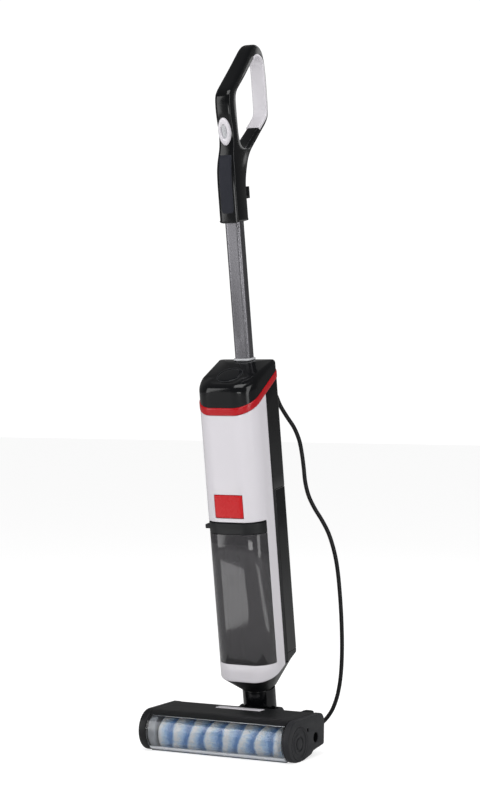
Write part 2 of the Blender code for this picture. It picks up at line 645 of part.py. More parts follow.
def make_clean_tank():
    """Clear water tank, the lower half of the black back; it slides off backwards."""
    front = 0.0109
    outline = back_part(0.0, front)
    tank = extruded("clean_water_tank", [outline], CLEAN_LOW, CLEAN_TOP, "black_gloss", "clean_tank_frame")
    inner = back_part(0.0022, front + 0.0022)
    hollow = extruded("clean_hollow_cutter", [inner], CLEAN_LOW + 0.0024, CLEAN_TOP - 0.0025, None,
                      "clean_tank_frame")
    cut(tank, hollow)
    cut(tank, rod("filler_cutter", (0, FILLER_DEPTH, 0.360), (0, FILLER_DEPTH, 0.390), 0.0100, None,
                  "clean_tank_frame"))
    turned("clean_tank_cap", [(0.0, 0.0026), (0.0125, 0.0026), (0.0125, 0.0003), (0.0097, 0.0003),
                              (0.0097, -0.0060), (0.0, -0.0060)],
           "grey_plastic", "clean_tank_frame", steps=24, location=(0, FILLER_DEPTH, CLEAN_TOP))


def tank_outline(inset):
    """Flush with the body in front and narrower where it slides in behind the white strips."""
    front = front_part(0.0003 + inset, TANK_SIDE - 0.0004 - inset)
    narrow = BODY_HALF - WALL - 0.0008 - inset
    back = -0.0010 - inset
    return front + [(narrow, TANK_SIDE - 0.0004 - inset), (narrow, back), (-narrow, back),
                    (-narrow, TANK_SIDE - 0.0004 - inset)]


def make_dirty_tank():
    lid_low = TANK_TOP - LID_HEIGHT
    tank = extruded("dirty_water_tank", [tank_outline(0.0)], TANK_BOTTOM, lid_low - GAP, "smoke_clear",
                    "dirty_tank_frame")
    cut(tank, extruded("dirty_hollow_cutter", [tank_outline(0.0022)], TANK_BOTTOM + 0.0025, lid_low + 0.010, None,
                       "dirty_tank_frame"))
    cut(tank, rod("tank_inlet_cutter", (PIPE_X, PIPE_DEPTH, 0.080), (PIPE_X, PIPE_DEPTH, 0.120), 0.0093, None,
                  "dirty_tank_frame"))
    lid = extruded("tank_lid", [tank_outline(0.0)], lid_low, TANK_TOP, "black_satin", "dirty_tank_frame")
    join(lid, extruded("lid_plug_guide", [tank_outline(0.0030)], lid_low - 0.0050, lid_low + 0.001, None,
                       "dirty_tank_frame"))
    join(lid, box("lid_lug_guide", (-BODY_HALF - 0.0022, -0.0400, lid_low + 0.0060),
                  (-0.0400, -0.0270, lid_low + 0.0120), None, "dirty_tank_frame"))
    cut(lid, box("lid_hollow_cutter", (-0.036, -0.042, lid_low - 0.010), (0.036, -0.006, TANK_TOP - 0.003), None,
                 "dirty_tank_frame"))
    cut(lid, rod("lid_outlet_cutter", (OUTLET_X, OUTLET_DEPTH, TANK_TOP - 0.010),
                 (OUTLET_X, OUTLET_DEPTH, TANK_TOP + 0.010), 0.0100, None, "dirty_tank_frame"))
    turned("standpipe", [(0.0090, 0.2850), (0.0090, TANK_BOTTOM + 0.0004), (0.0074, TANK_BOTTOM + 0.0004),
                         (0.0074, 0.2850)],
           "grey_plastic", "dirty_tank_frame", steps=20, location=(PIPE_X, PIPE_DEPTH, 0))
    turned("tank_float", [(0.0140, 0.018), (0.0140, 0.0), (0.0094, 0.0), (0.0094, 0.018)], "grey_plastic",
           "float_frame", steps=24)
    turned("tank_filter", [(0.0150, 0.0260), (0.0150, 0.0), (0.0060, 0.0), (0.0060, 0.0260)], "grey_plastic",
           "dirty_tank_frame", steps=24, location=(OUTLET_X, -0.024, 0.3046))


def make_ring_and_console():
    ring_top = RING_HEIGHT + RING_THICK
    extruded("red_trim_ring", [body_outline(-0.0008), body_outline(0.0032)], RING_HEIGHT, ring_top, "red_gloss",
             "body_frame", low_slope=RING_SLOPE, high_slope=RING_SLOPE)

    console = extruded("console_cap", [body_outline(0.0004)], ring_top + GAP, CONSOLE_HEIGHT, "black_gloss",
                       "body_frame", low_slope=RING_SLOPE, high_slope=CONSOLE_SLOPE)
    soften = console.modifiers.new("Edge", "BEVEL")
    soften.width = 0.005
    soften.segments = 2
    soften.limit_method = "VGROUP"
    upper = console.vertex_groups.new(name="upper_edge")
    upper.add([v.index for v in console.data.vertices
               if v.co.z > CONSOLE_HEIGHT + CONSOLE_SLOPE * v.co.y - 0.001], 1.0, "REPLACE")
    soften.vertex_group = upper.name
    cut(console, box("console_top_cutter", (-0.080, -0.020, CONSOLE_FLAT), (0.080, 0.080, 0.640), None,
                     "body_frame"))
    hollow = extruded("console_hollow_cutter", [body_outline(0.0045)], ring_top - 0.010,
                      CONSOLE_HEIGHT - 0.0075, None, "body_frame", low_slope=RING_SLOPE,
                      high_slope=CONSOLE_SLOPE * 0.80)
    cut(console, hollow)
    socket = extruded("console_tube_cutter", [rounded_rectangle(TUBE_WIDTH / 2 + 0.0004, TUBE_DEPTH / 2 + 0.0004,
                                                                0.0062, centre=(0.0, TUBE_CENTRE))],
                      0.520, 0.640, None, "body_frame")
    cut(console, socket)
    tilt = math.atan(CONSOLE_SLOPE)
    empty("display_frame", "body_frame", (0.0, DISPLAY_DEPTH, CONSOLE_HEIGHT + CONSOLE_SLOPE * DISPLAY_DEPTH),
          (tilt, 0, 0))
    cut(console, rod("display_seat_cutter", (0, 0, -0.0020), (0, 0, 0.010), DISPLAY_RADIUS + GAP, None,
                     "display_frame", sides=36))
    rod("display_lens", (0, 0, -0.0017), (0, 0, 0.0004), DISPLAY_RADIUS, "black_gloss", "display_frame", sides=36)
    box("control_board", (-0.024, -0.020, -0.0160), (0.024, 0.020, -0.0144), "board_green", "display_frame")


def make_body_inside():
    rod("suction_motor", (0, MOTOR_DEPTH, 0.430), (0, MOTOR_DEPTH, 0.488), 0.0360, "steel", "body_frame", sides=32)
    impeller = turned("impeller", [(0.0, 0.018), (0.0060, 0.018), (0.0060, 0.012), (0.0330, 0.008),
                                   (0.0330, -0.008), (0.0, -0.008)],
                      "aluminium", "fan_axis", steps=28)
    cut(impeller, turned("impeller_eye_cutter", [(0.0150, 0.0010), (0.0150, -0.0100), (0.0050, -0.0100),
                                                 (0.0050, 0.0010)],
                         None, "fan_axis", steps=20))
    rod("water_pump", (0.004, -0.030, 0.0850), (0.034, -0.030, 0.0850), 0.0075, "grey_plastic", "body_frame",
        sides=20)
    box("latch_bracket", (-0.010, -0.0420, 0.3480), (0.010, -0.0400, 0.3847), "steel", "body_frame")


def make_release_button():
    outer = [(x, v) for x, v in front_part(-0.0008, -0.030, 10) if abs(x) < BUTTON_HALF]
    inner = [(x, v) for x, v in front_part(0.0018, -0.030, 10) if abs(x) < BUTTON_HALF]
    edge = [(BUTTON_HALF, outer[-1][1] + 0.0004), (BUTTON_HALF, inner[-1][1] + 0.0004)]
    other = [(-x, v) for x, v in edge[::-1]]
    button = extruded("release_button", [outer + edge + inner[::-1] + other], BUTTON_LOW, BUTTON_HIGH,
                      "red_gloss", "button_frame")
    middle = (BUTTON_LOW + BUTTON_HIGH) / 2
    join(button, rod("button_boss_guide", (0, -0.0530, middle), (0, -0.0490, middle), 0.0042, None,
                     "button_frame", sides=20))
    turns, steps = 4, 12
    start, stop = -0.0482, -0.0427
    helix = []
    for i in range(turns * steps + 1):
        angle = 2 * math.pi * i / steps
        helix.append((0.0045 * math.cos(angle), start + (stop - start) * i / (turns * steps),
                      middle + 0.0045 * math.sin(angle)))
    wire("release_spring", helix, 0.0004, "steel", "body_frame")


# ---- handle -------------------------------------------------------------------------------------------------
def make_tube():
    centre = (0.0, TUBE_CENTRE)
    outer = rounded_rectangle(TUBE_WIDTH / 2, TUBE_DEPTH / 2, 0.006, 4, centre)
    inner = rounded_rectangle(TUBE_WIDTH / 2 - 0.0016, TUBE_DEPTH / 2 - 0.0016, 0.0044, 4, centre)
    extruded("handle_tube", [outer, inner], TUBE_LOW, TUBE_HIGH, "aluminium", "body_frame")
    wide = rounded_rectangle(TUBE_WIDTH / 2 + 0.0028, TUBE_DEPTH / 2 + 0.0028, 0.0088, 4, centre)
    close = rounded_rectangle(TUBE_WIDTH / 2 + 0.0003, TUBE_DEPTH / 2 + 0.0003, 0.0063, 4, centre)
    extruded("tube_collar", [wide, close], CONSOLE_FLAT + GAP, CONSOLE_FLAT + 0.0035, "grey_plastic",
             "body_frame")


def handle_outlines():
    """Outer and inner outline of the loop handle in side view, as (depth, height)."""
    outer = [(0.0155, STEM_LOW), (0.0155, 0.870), (0.0175, 0.900), (0.0205, 0.925), (0.0275, 0.938),
             (0.0280, 0.950), (0.0255, 0.962), (0.0225, 0.978), (0.0220, 0.998)]
    outer += arc((0.0385, 1.0045), 0.0165, 180, 125, 4)
    outer += arc((0.1280, 1.0625), 0.0260, 125, 12, 8)
    outer += [(0.1570, 1.0420), (0.1570, 0.9900)]
    outer += arc((0.1410, 0.9750), 0.0160, 10, -50, 4)
    outer += [(0.1050, 0.9305), (0.0850, 0.9180), (0.0680, 0.9020), (0.0580, 0.8830), (0.0540, 0.8620),
              (0.0540, STEM_LOW)]
    inner = [(0.0600, 0.9250), (0.0520, 0.9320), (0.0480, 0.9480), (0.0470, 0.9850)]
    inner += arc((0.0600, 1.0050), 0.0130, 180, 125, 3)
    inner += arc((0.1300, 1.0510), 0.0170, 125, 20, 6)
    inner += [(0.1470, 1.0380), (0.1470, 0.9880)]
    inner += arc((0.1360, 0.9790), 0.0110, 8, -52, 3)
    inner += [(0.1020, 0.9435), (0.0780, 0.9290), (0.0680, 0.9245)]
    return outer, inner


def handle_half(depth, height):
    """Share of the stem's half width: full on the stem, slimmer round the loop."""
    up = min(max((height - 0.885) / 0.045, 0.0), 1.0)
    back = min(max((depth - 0.060) / 0.060, 0.0), 1.0)
    return 1.0 - 0.18 * up * up * (3 - 2 * up) - 0.12 * back


def strip_along(points, thickness):
    """A closed strip of even thickness on the left of an open line of points."""
    points = [Vector(point) for point in points]
    shifted = []
    for i, point in enumerate(points):
        before, after = points[max(i - 1, 0)], points[min(i + 1, len(points) - 1)]
        along = (after - before).normalized()
        shifted.append(point + Vector((-along.y, along.x)) * thickness)
    return [tuple(point) for point in points] + [tuple(point) for point in shifted[::-1]]


def make_handle():
    outer, inner = handle_outlines()
    for side, low, high in (("left", -STEM_HALF, -0.00015), ("right", 0.00015, STEM_HALF)):
        whole = extruded(f"handle_{side}", [outer, inner], -STEM_HALF, STEM_HALF, "black_gloss", "body_frame",
                         axis="X", half_at=handle_half, round_by=0.0040)
        away_low, away_high = (high, 0.05) if side == "left" else (-0.05, low)
        cut(whole, box(f"handle_{side}_cutter", (away_low, -0.05, 0.75), (away_high, 0.25, 1.15), None,
                       "body_frame"))
        socket = rounded_rectangle(TUBE_WIDTH / 2 + 0.0004, TUBE_DEPTH / 2 + 0.0004, 0.0064,
                                   centre=(0.0, TUBE_CENTRE))
        cut(whole, extruded(f"stem_{side}_socket_cutter", [socket], STEM_LOW - 0.01, TUBE_HIGH + 0.001, None,
                            "body_frame"))
        cut(whole, extruded(f"stem_{side}_cover_cutter", [stem_cover_outline(0.0004)], -0.0116, 0.0116, None,
                            "body_frame", axis="X"))
        cut(whole, extruded(f"switch_{side}_seat_cutter", [oval(0.0108, 0.0223)], -0.0036, 0.0200, None,
                            "switch_frame"))
    extruded("stem_cover", [stem_cover_outline(0.0)], -0.0112, 0.0112, "black_satin", "body_frame", axis="X")
    line = arc((0.1300, 1.0510), 0.0166, 122, 20, 6)
    line += [(0.1466, 1.0380), (0.1466, 0.9880)] + arc((0.1360, 0.9790), 0.0106, 8, -46, 3) + [(0.1080, 0.9478)]
    extruded("grip_insert", [strip_along(line, -0.0016)], -0.0085, 0.0085, "white_gloss", "body_frame", axis="X")


def stem_cover_outline(grow):
    face = [(0.0155, STEM_LOW + 0.004 - grow), (0.0155, 0.870), (0.0172, 0.8955 + grow)]
    back = [(depth + 0.0018 + grow, height) for depth, height in face[::-1]]
    front = [(depth - 0.0006 - grow * 8, height) for depth, height in face]
    return front + back


def oval(half_x, half_z, steps=28):
    return [(half_x * math.cos(2 * math.pi * i / steps), half_z * math.sin(2 * math.pi * i / steps))
            for i in range(steps)]


def make_switch():
    """Oval bezel on the front of the grip with a rocker inside; both lie flat in the switch's own frame."""
    extruded("switch_bezel", [oval(0.0104, 0.0219), oval(0.0056, 0.0160)], -0.0032, 0.0030, "white_gloss",
             "switch_frame")
    box("power_rocker", (-0.0040, -0.0116, -0.0020), (0.0040, 0.0116, 0.0034), "grey_plastic", "rocker_axis",
        round_by=0.0010)


def make_hooks():
    """Two hooks that hold the wound cord: the upper one turns to let the cord drop off."""
    profile = [(0.0, -0.0100), (0.0040, -0.0100), (0.0040, 0.0010), (0.0235, 0.0010), (0.0235, 0.0200),
               (0.0200, 0.0200), (0.0200, 0.0050), (0.0, 0.0050)]
    extruded("cord_hook_upper", [profile], -HOOK_HALF, HOOK_HALF, "black_satin", "hook_axis", axis="X")
    lower = [(BODY_BACK + GAP + depth, LOWER_HOOK_HEIGHT - height) for depth, height in profile]
    extruded("cord_hook_lower", [lower], -HOOK_HALF, HOOK_HALF, "black_satin", "body_frame", axis="X")


# ---- cord ---------------------------------------------------------------------------------------------------
def make_cord():
    base = (RELIEF_X, BODY_BACK + GAP, RELIEF_HEIGHT)
    profile = [(0.0, RELIEF_LONG), (0.0040, RELIEF_LONG)]
    for i in range(5):
        share = 1 - i / 5
        high = RELIEF_LONG * share
        radius = 0.0044 + 0.0024 * (1 - share)
        profile += [(radius, high - 0.0005), (radius, high - 0.0045), (radius - 0.0007, high - 0.0050)]
    profile = profile[:-1] + [(0.0095, 0.0022), (0.0095, 0.0), (0.0, 0.0)]
    turned("strain_relief", profile, "rubber", "body_frame", steps=18, location=base,
           rotation=(math.radians(-90), 0, 0))
    line = CORD_ROUTE[:1] + smooth_route(CORD_ROUTE[1:], 0.0165)
    wire("power_cord", line, CORD_RADIUS, "rubber", "head_frame")
    inner, outer = COIL_MIDDLE - COIL_WIDE / 2, COIL_MIDDLE + COIL_WIDE / 2
    edge = 0.005
    coil = [(inner + edge, COIL_TALL), (outer - edge, COIL_TALL), (outer, COIL_TALL - edge), (outer, edge),
            (outer - edge, 0.0003), (inner + edge, 0.0003), (inner, edge), (inner, COIL_TALL - edge)]
    turned("cord_coil", coil, "rubber", "head_frame", steps=40, location=(*COIL_CENTRE, 0.0))


def make_tie_and_plug():
    """Hook and loop strap round the coil, and a two-pin plug lying beside it."""
    centre_x, centre_y = COIL_CENTRE
    strap = box("cord_tie", (centre_x - COIL_MIDDLE - COIL_WIDE / 2 - 0.0026, centre_y - 0.0055, 0.0002),
                (centre_x - COIL_MIDDLE + COIL_WIDE / 2 + 0.0026, centre_y + 0.0055, COIL_TALL + 0.0016),
                "rubber", "head_frame")
    way = box("tie_way_cutter", (centre_x - COIL_MIDDLE - COIL_WIDE / 2 - 0.0012, centre_y - 0.0200, -0.0020),
              (centre_x - COIL_MIDDLE + COIL_WIDE / 2 + 0.0012, centre_y + 0.0200, COIL_TALL + 0.0004), None,
              "head_frame")
    cut(strap, way)
    start = centre_x + 0.0200
    side = centre_y + COIL_MIDDLE + COIL_WIDE / 2 + 0.0125
    lie = 0.0115
    plug = rod("mains_plug", (start, side, lie), (start + 0.018, side, lie), 0.0060, "rubber", "head_frame",
               sides=20, end_radius=0.0075)
    join(plug, box("plug_body_guide", (start + 0.016, side - 0.0090, 0.0004),
                   (start + 0.038, side + 0.0090, 0.0226), None, "head_frame", round_by=0.0020))
    for pin, offset in (("front", -0.0055), ("back", 0.0055)):
        join(plug, rod(f"plug_pin_{pin}_guide", (start + 0.036, side + offset, lie),
                       (start + 0.056, side + offset, lie), 0.0024, None, "head_frame", sides=12))


def main():
    start_scene()
    empty("head_frame", location=(0.0, -FRAME_SHIFT, 0.0))
    empty("roller_axis", "head_frame", (0.0, 0.0, ROLLER_Z))
    empty("motor_axis", "head_frame", (0.0, MOTOR_Y, MOTOR_Z))
    empty("cover_frame", "head_frame")
    empty("wheel_left_axis", "head_frame")
    empty("wheel_right_axis", "head_frame")
    empty("neck_frame", "head_frame", (0.0, PIVOT_Y, PIVOT_Z), (LEAN, 0, 0))
    empty("body_frame", "neck_frame")
    empty("dirty_tank_frame", "body_frame")
    empty("float_frame", "dirty_tank_frame", (PIPE_X, PIPE_DEPTH, FLOAT_HEIGHT))
    empty("clean_tank_frame", "body_frame")
    empty("button_frame", "body_frame")
    empty("fan_axis", "body_frame", (0.0, MOTOR_DEPTH, FAN_HEIGHT))
    empty("switch_frame", "body_frame", (0.0, SWITCH_DEPTH, SWITCH_HEIGHT), (math.pi / 2 + SWITCH_LEAN, 0, 0))
    empty("rocker_axis", "switch_frame")
    empty("hook_axis", "body_frame", (0.0, 0.0540 + GAP, HOOK_HEIGHT))
    make_head_housing()
    make_head_ends()
    make_roller_cover()
    make_head_fittings()
    make_drive()
    make_roller()
    make_wheels()
    make_neck_bracket()
    make_neck()
    make_bottom_funnel()
    make_front_shell()
    make_back_shell()
    make_chassis()
    make_clean_tank()
    make_dirty_tank()
    make_ring_and_console()
    make_body_inside()
    make_release_button()
    make_tube()
    make_handle()
    make_switch()
    make_hooks()
    make_cord()
    make_tie_and_plug()


main()
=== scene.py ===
import bpy
import bmesh
import json
import math
import numpy as np
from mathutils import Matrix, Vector
from mathutils.geometry import tessellate_polygon


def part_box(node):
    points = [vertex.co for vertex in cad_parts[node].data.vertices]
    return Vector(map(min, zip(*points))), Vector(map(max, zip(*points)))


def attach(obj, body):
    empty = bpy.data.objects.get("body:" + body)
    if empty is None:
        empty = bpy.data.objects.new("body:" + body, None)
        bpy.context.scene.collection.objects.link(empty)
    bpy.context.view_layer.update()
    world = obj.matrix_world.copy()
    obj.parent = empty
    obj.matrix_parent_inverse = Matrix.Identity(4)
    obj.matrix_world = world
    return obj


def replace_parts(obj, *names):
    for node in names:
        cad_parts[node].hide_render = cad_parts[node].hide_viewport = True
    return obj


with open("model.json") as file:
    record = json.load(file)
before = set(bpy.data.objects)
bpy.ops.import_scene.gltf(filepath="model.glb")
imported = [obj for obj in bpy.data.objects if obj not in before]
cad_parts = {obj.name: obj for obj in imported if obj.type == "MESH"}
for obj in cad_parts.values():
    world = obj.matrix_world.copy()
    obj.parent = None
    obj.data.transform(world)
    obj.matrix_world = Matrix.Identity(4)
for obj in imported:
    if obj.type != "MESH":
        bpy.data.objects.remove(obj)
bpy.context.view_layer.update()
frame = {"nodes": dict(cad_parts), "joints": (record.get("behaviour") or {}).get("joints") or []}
print("frame loaded:", len(frame["nodes"]), "nodes")

jointPlace = {joint["name"]: joint for joint in frame["joints"]}
pivot = np.array(jointPlace["neck_tilt"]["pos_m"])      # where the neck tilts
bodyUp = np.array(jointPlace["neck_swivel"]["axis"])    # up along the leaning body
bodyBack = np.array([0.0, bodyUp[2], -bodyUp[1]])
headShift = -0.0583      # the head is drawn with its roller at y = 0 and moved by this


def link(thing):
    bpy.context.scene.collection.objects.link(thing)


def fromBody(points):
    # body frame (across, backwards, upwards) to the world
    points = np.asarray(points, float)
    return pivot + points[..., :1] * (1, 0, 0) + points[..., 1:2] * bodyBack + points[..., 2:3] * bodyUp


def fromHead(points):
    return np.asarray(points, float) + (0.0, headShift, 0.0)


def smoothStep(value, low, high):
    share = np.clip((np.asarray(value, float) - low) / (high - low), 0, 1)
    return share * share * (3 - 2 * share)


def finishMesh(name, vertices, faces, material, slot, body="main_body", outward=True, smooth=38, marks=None):
    # vertices are already in the world; faces are lists of vertex numbers
    mesh = bpy.data.meshes.new(name)
    mesh.from_pydata(np.asarray(vertices, float).tolist(), [], [list(face) for face in faces])
    for mark, values in (marks or {}).items():
        mesh.attributes.new(mark, "FLOAT", "POINT").data.foreach_set("value", np.asarray(values, float).ravel())
    if outward:
        bm = bmesh.new()
        bm.from_mesh(mesh)
        bmesh.ops.recalc_face_normals(bm, faces=bm.faces)
        bm.to_mesh(mesh)
        bm.free()
    mesh.shade_smooth()
    mesh.set_sharp_from_angle(angle=math.radians(smooth))
    mesh.materials.append(material)
    piece = bpy.data.objects.new(name, mesh)
    link(piece)
    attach(piece, body)
    return piece


def gridFaces(rows, columns, closeRows=False, closeColumns=True):
    # quads between neighbouring points of a grid, as one array of vertex numbers
    r = np.arange(rows if closeRows else rows - 1)[:, None]
    c = np.arange(columns if closeColumns else columns - 1)[None, :]
    up, over = (r + 1) % rows, (c + 1) % columns
    quads = np.stack(
        np.broadcast_arrays(r * columns + c, r * columns + over, up * columns + over, up * columns + c), axis=-1)
    return quads.reshape(-1, 4).tolist()


def gridPiece(name, points, material, slot, body="main_body", closeRows=False, closeColumns=True, **extra):
    # points is rows x columns x 3; a tube open at its ends is closed by a fan to the middle of each end row
    rows, columns = points.shape[:2]
    vertices = points.reshape(-1, 3)
    faces = gridFaces(rows, columns, closeRows, closeColumns)
    if closeColumns and not closeRows:
        middles = np.array([points[0].mean(axis=0), points[-1].mean(axis=0)])
        for end, row in ((0, 0), (1, rows - 1)):
            hub = len(vertices) + end
            ring = row * columns + np.arange(columns)
            faces += [[a, b, hub] for a, b in zip(ring, np.roll(ring, -1))]
        vertices = np.concatenate([vertices, middles])
        if extra.get("marks"):
            extra["marks"] = {mark: np.concatenate([np.ravel(v), [0, 0]]) for mark, v in extra["marks"].items()}
    return finishMesh(name, vertices, faces, material, slot, body, **extra)


def joinPieces(name, pieces):
    # several meshes of one finish as one piece; the first keeps its body
    keep = pieces[0]
    with bpy.context.temp_override(active_object=keep, selected_editable_objects=pieces, selected_objects=pieces):
        bpy.ops.object.join()
    keep.name = name
    return keep


def cornerArc(centre, radius, start, stop, count):
    angle = np.radians(np.linspace(start, stop, count))
    return np.stack([centre[0] + radius * np.cos(angle), centre[1] + radius * np.sin(angle)], axis=-1)


def roundedOutline(half, front, back, frontRadius, backRadius, inset=0.0, count=14):
    # a rectangle with quarter circles for corners, and one support point just outside each arc's end
    half, front, back = half - inset, front + inset, back - inset
    frontRadius, backRadius = max(frontRadius - inset, 0.0006), max(backRadius - inset, 0.0006)
    edge = 0.0012
    corners = (
        ((half - backRadius, back - backRadius), backRadius, 0, (0, -edge), (-edge, 0)),
        ((-half + backRadius, back - backRadius), backRadius, 90, (edge, 0), (0, -edge)),
        ((-half + frontRadius, front + frontRadius), frontRadius, 180, (0, edge), (edge, 0)),
        ((half - frontRadius, front + frontRadius), frontRadius, 270, (-edge, 0), (0, edge)))
    parts = []
    for centre, radius, start, before, after in corners:
        bend = cornerArc(centre, radius, start, start + 90, count)
        parts += [bend[:1] + before, bend, bend[-1:] + after]
    return np.concatenate(parts)


def inwardNormals(line, closed):
    # unit normals on the left of a line of points, which is the inside of a loop that runs anticlockwise
    along = np.roll(line, -1, axis=0) - np.roll(line, 1, axis=0) if closed else np.gradient(line, axis=0)
    along /= np.linalg.norm(along, axis=1, keepdims=True)
    return np.stack([-along[:, 1], along[:, 0]], axis=-1)


def turnedPoints(profile, count=64):
    # a profile of (radius, height) carried round the z axis: x = r cos a, y = r sin a
    profile = np.asarray(profile, float)
    angle = np.linspace(0, 2 * np.pi, count, endpoint=False)
    ring = np.stack([np.cos(angle), np.sin(angle), np.zeros(count)], axis=-1)
    return profile[:, None, :1] * ring[None] + profile[:, None, 1:] * np.array([0, 0, 1.0])


def roundedProfile(corners, radius, count=4):
    # an open line of corners with each inner corner rounded by an arc of about the given radius
    corners = np.asarray(corners, float)
    out = [corners[:1]]
    for before, here, after in zip(corners[:-2], corners[1:-1], corners[2:]):
        toBefore, toAfter = before - here, after - here
        reach = min(radius, np.linalg.norm(toBefore) * 0.45, np.linalg.norm(toAfter) * 0.45)
        a = here + toBefore / np.linalg.norm(toBefore) * reach
        b = here + toAfter / np.linalg.norm(toAfter) * reach
        share = np.linspace(0, 1, count + 1)[:, None]
        out.append(a * (1 - share) ** 2 + 2 * here * share * (1 - share) + b * share ** 2)
    out.append(corners[-1:])
    return np.concatenate(out)


def smoothLine(points, count, closed=False):
    # an even line along a Catmull-Rom curve through the points
    points = np.asarray(points, float)
    if closed:
        ends = np.concatenate([points[-1:], points, points[:2]])
    else:
        ends = np.concatenate([2 * points[:1] - points[1:2], points, 2 * points[-1:] - points[-2:-1]])
    t = np.linspace(0, 1, 24, endpoint=False)[None, :, None]
    a, b, c, d = (ends[i:len(ends) - 3 + i, None] for i in range(4))
    fine = 0.5 * (2 * b + (c - a) * t + (2 * a - 5 * b + 4 * c - d) * t ** 2 + (3 * b - a - 3 * c + d) * t ** 3)
    fine = fine.reshape(-1, points.shape[1])
    fine = np.concatenate([fine, fine[:1] if closed else points[-1:]])
    length = np.concatenate([[0], np.cumsum(np.linalg.norm(np.diff(fine, axis=0), axis=1))])
    at = np.linspace(0, length[-1], count, endpoint=not closed)
    return np.stack([np.interp(at, length, fine[:, k]) for k in range(fine.shape[1])], axis=-1)


def tubePoints(path, radius, sides):
    # circles square to the path; the frame is carried along by removing its part along the tangent
    tangent = np.gradient(path, axis=0)
    tangent /= np.linalg.norm(tangent, axis=1, keepdims=True)
    side = np.empty_like(path)
    start = np.cross(tangent[0], (0.31, 0.17, 0.94))
    side[0] = start / np.linalg.norm(start)
    for i in range(1, len(path)):
        carried = side[i - 1] - tangent[i] * (side[i - 1] @ tangent[i])
        side[i] = carried / np.linalg.norm(carried)
    up = np.cross(tangent, side)
    angle = np.linspace(0, 2 * np.pi, sides, endpoint=False)[None, :, None]
    radius = np.broadcast_to(np.asarray(radius, float), (len(path),))[:, None, None]
    return path[:, None] + radius * (np.cos(angle) * side[:, None] + np.sin(angle) * up[:, None])


def platePiece(
        name, loops, low, high, rim, material, slot, body="main_body", place=fromHead, halfShare=None, deep=None):
    # flat outlines in a side view, the first outside and the rest round holes, drawn out across the object:
    # each rim follows a quarter circle of radius rim (a quarter ellipse if deep differs) from side face to edge
    deep = deep or rim
    bend = np.radians(np.linspace(0, 90, 7))
    insets = np.concatenate([rim * (1 - np.sin(bend)), rim * (1 - np.sin(bend[::-1]))])
    across = np.concatenate([high - deep * (1 - np.cos(bend)), low + deep * (1 - np.cos(bend[::-1]))])
    vertices, faces, sideLoops = [], [], []
    for number, loop in enumerate(loops):
        loop = np.asarray(loop, float)
        area = 0.5 * np.sum(loop[:, 0] * np.roll(loop[:, 1], -1) - np.roll(loop[:, 0], -1) * loop[:, 1])
        if area < 0:
            loop = loop[::-1]
        normal = inwardNormals(loop, True) * (1 if number == 0 else -1)
        flat = loop[None] + normal[None] * insets[:, None, None]
        width = np.broadcast_to(across[:, None, None], flat.shape[:2] + (1,))
        grid = np.concatenate([width, flat], axis=-1)
        start = sum(len(v) for v in vertices)
        vertices.append(grid.reshape(-1, 3))
        faces += (np.array(gridFaces(len(insets), len(loop))) + start).tolist()
        sideLoops.append(start + np.array([[0], [(len(insets) - 1) * len(loop)]]) + np.arange(len(loop)))
    vertices = np.concatenate(vertices)
    for side in (0, 1):
        numbers = np.concatenate([ends[side] for ends in sideLoops])
        outlines = [[Vector((*vertices[i][1:], 0)) for i in ends[side]] for ends in sideLoops]
        faces += [[int(numbers[i]) for i in triangle] for triangle in tessellate_polygon(outlines)]
    if halfShare is not None:
        vertices[:, 0] *= halfShare(vertices[:, 1], vertices[:, 2])
    return finishMesh(name, place(vertices), faces, material, slot, body, smooth=50)


def toLinear(colour):
    # sRGB hex to linear light
    value = np.array([int(colour[i:i + 2], 16) / 255 for i in (0, 2, 4)])
    value = np.where(value <= 0.04045, value / 12.92, ((value + 0.055) / 1.055) ** 2.4)
    return (*value.tolist(), 1.0)


def toned(colour, share):
    # the same colour, lighter or darker by a share of its linear light
    return (*(np.array(toLinear(colour)[:3]) * share).tolist(), 1.0)


def perSize(millimetres):
    return 1000 / millimetres      # pattern scale on coordinates in metres


def addNode(tree, kind, settings=None, links=None, into=None):
    # settings are sockets or else properties, links lead in, and into names the shader's sockets it feeds
    node = tree.nodes.new("ShaderNode" + kind)
    for key, value in (settings or {}).items():
        if isinstance(key, int) or key in node.inputs:
            node.inputs[key].default_value = value
        else:
            setattr(node, key, value)
    for socket, source in (links or {}).items():
        tree.links.new(source, node.inputs[socket])
    for socket, output in (into or {}).items():
        tree.links.new(node.outputs[output], tree.nodes["Principled BSDF"].inputs[socket])
    return node


def newMaterial(name, settings):
    material = bpy.data.materials.new(name)
    material.use_nodes = True
    for key, value in settings.items():
        material.node_tree.nodes["Principled BSDF"].inputs[key].default_value = value
    return material, material.node_tree


def mouldedPlastic(name, colour, roughness, grain, grainDepth, tone=0.06, specular=0.5):
    # moulded thermoplastic: a faint tone drift across the part, roughness that wanders a little, and the
    # tool's grain in the bump
    material, tree = newMaterial(name, {"IOR": 1.53, "Specular IOR Level": specular})
    place = {"Vector": addNode(tree, "TexCoord").outputs["Object"]}
    drift = addNode(tree, "TexNoise", {"Scale": perSize(55), "Detail": 3.0}, place)
    addNode(
        tree, "MixRGB", {"Color1": toned(colour, 1 - tone), "Color2": toned(colour, 1 + tone)},
        {"Fac": drift.outputs["Fac"]}, {"Base Color": "Color"})
    smear = addNode(tree, "TexNoise", {"Scale": perSize(18), "Detail": 5.0, "Roughness": 0.65}, place)
    addNode(
        tree, "MapRange", {"From Min": 0.3, "From Max": 0.7, "To Min": roughness - 0.025, "To Max": roughness + 0.05},
        {"Value": smear.outputs["Fac"]}, {"Roughness": "Result"})
    pits = addNode(tree, "TexNoise", {"Scale": perSize(grain), "Detail": 2.0}, place)
    addNode(
        tree, "Bump", {"Strength": grainDepth, "Distance": 0.0002}, {"Height": pits.outputs["Fac"]},
        {"Normal": "Normal"})
    return material


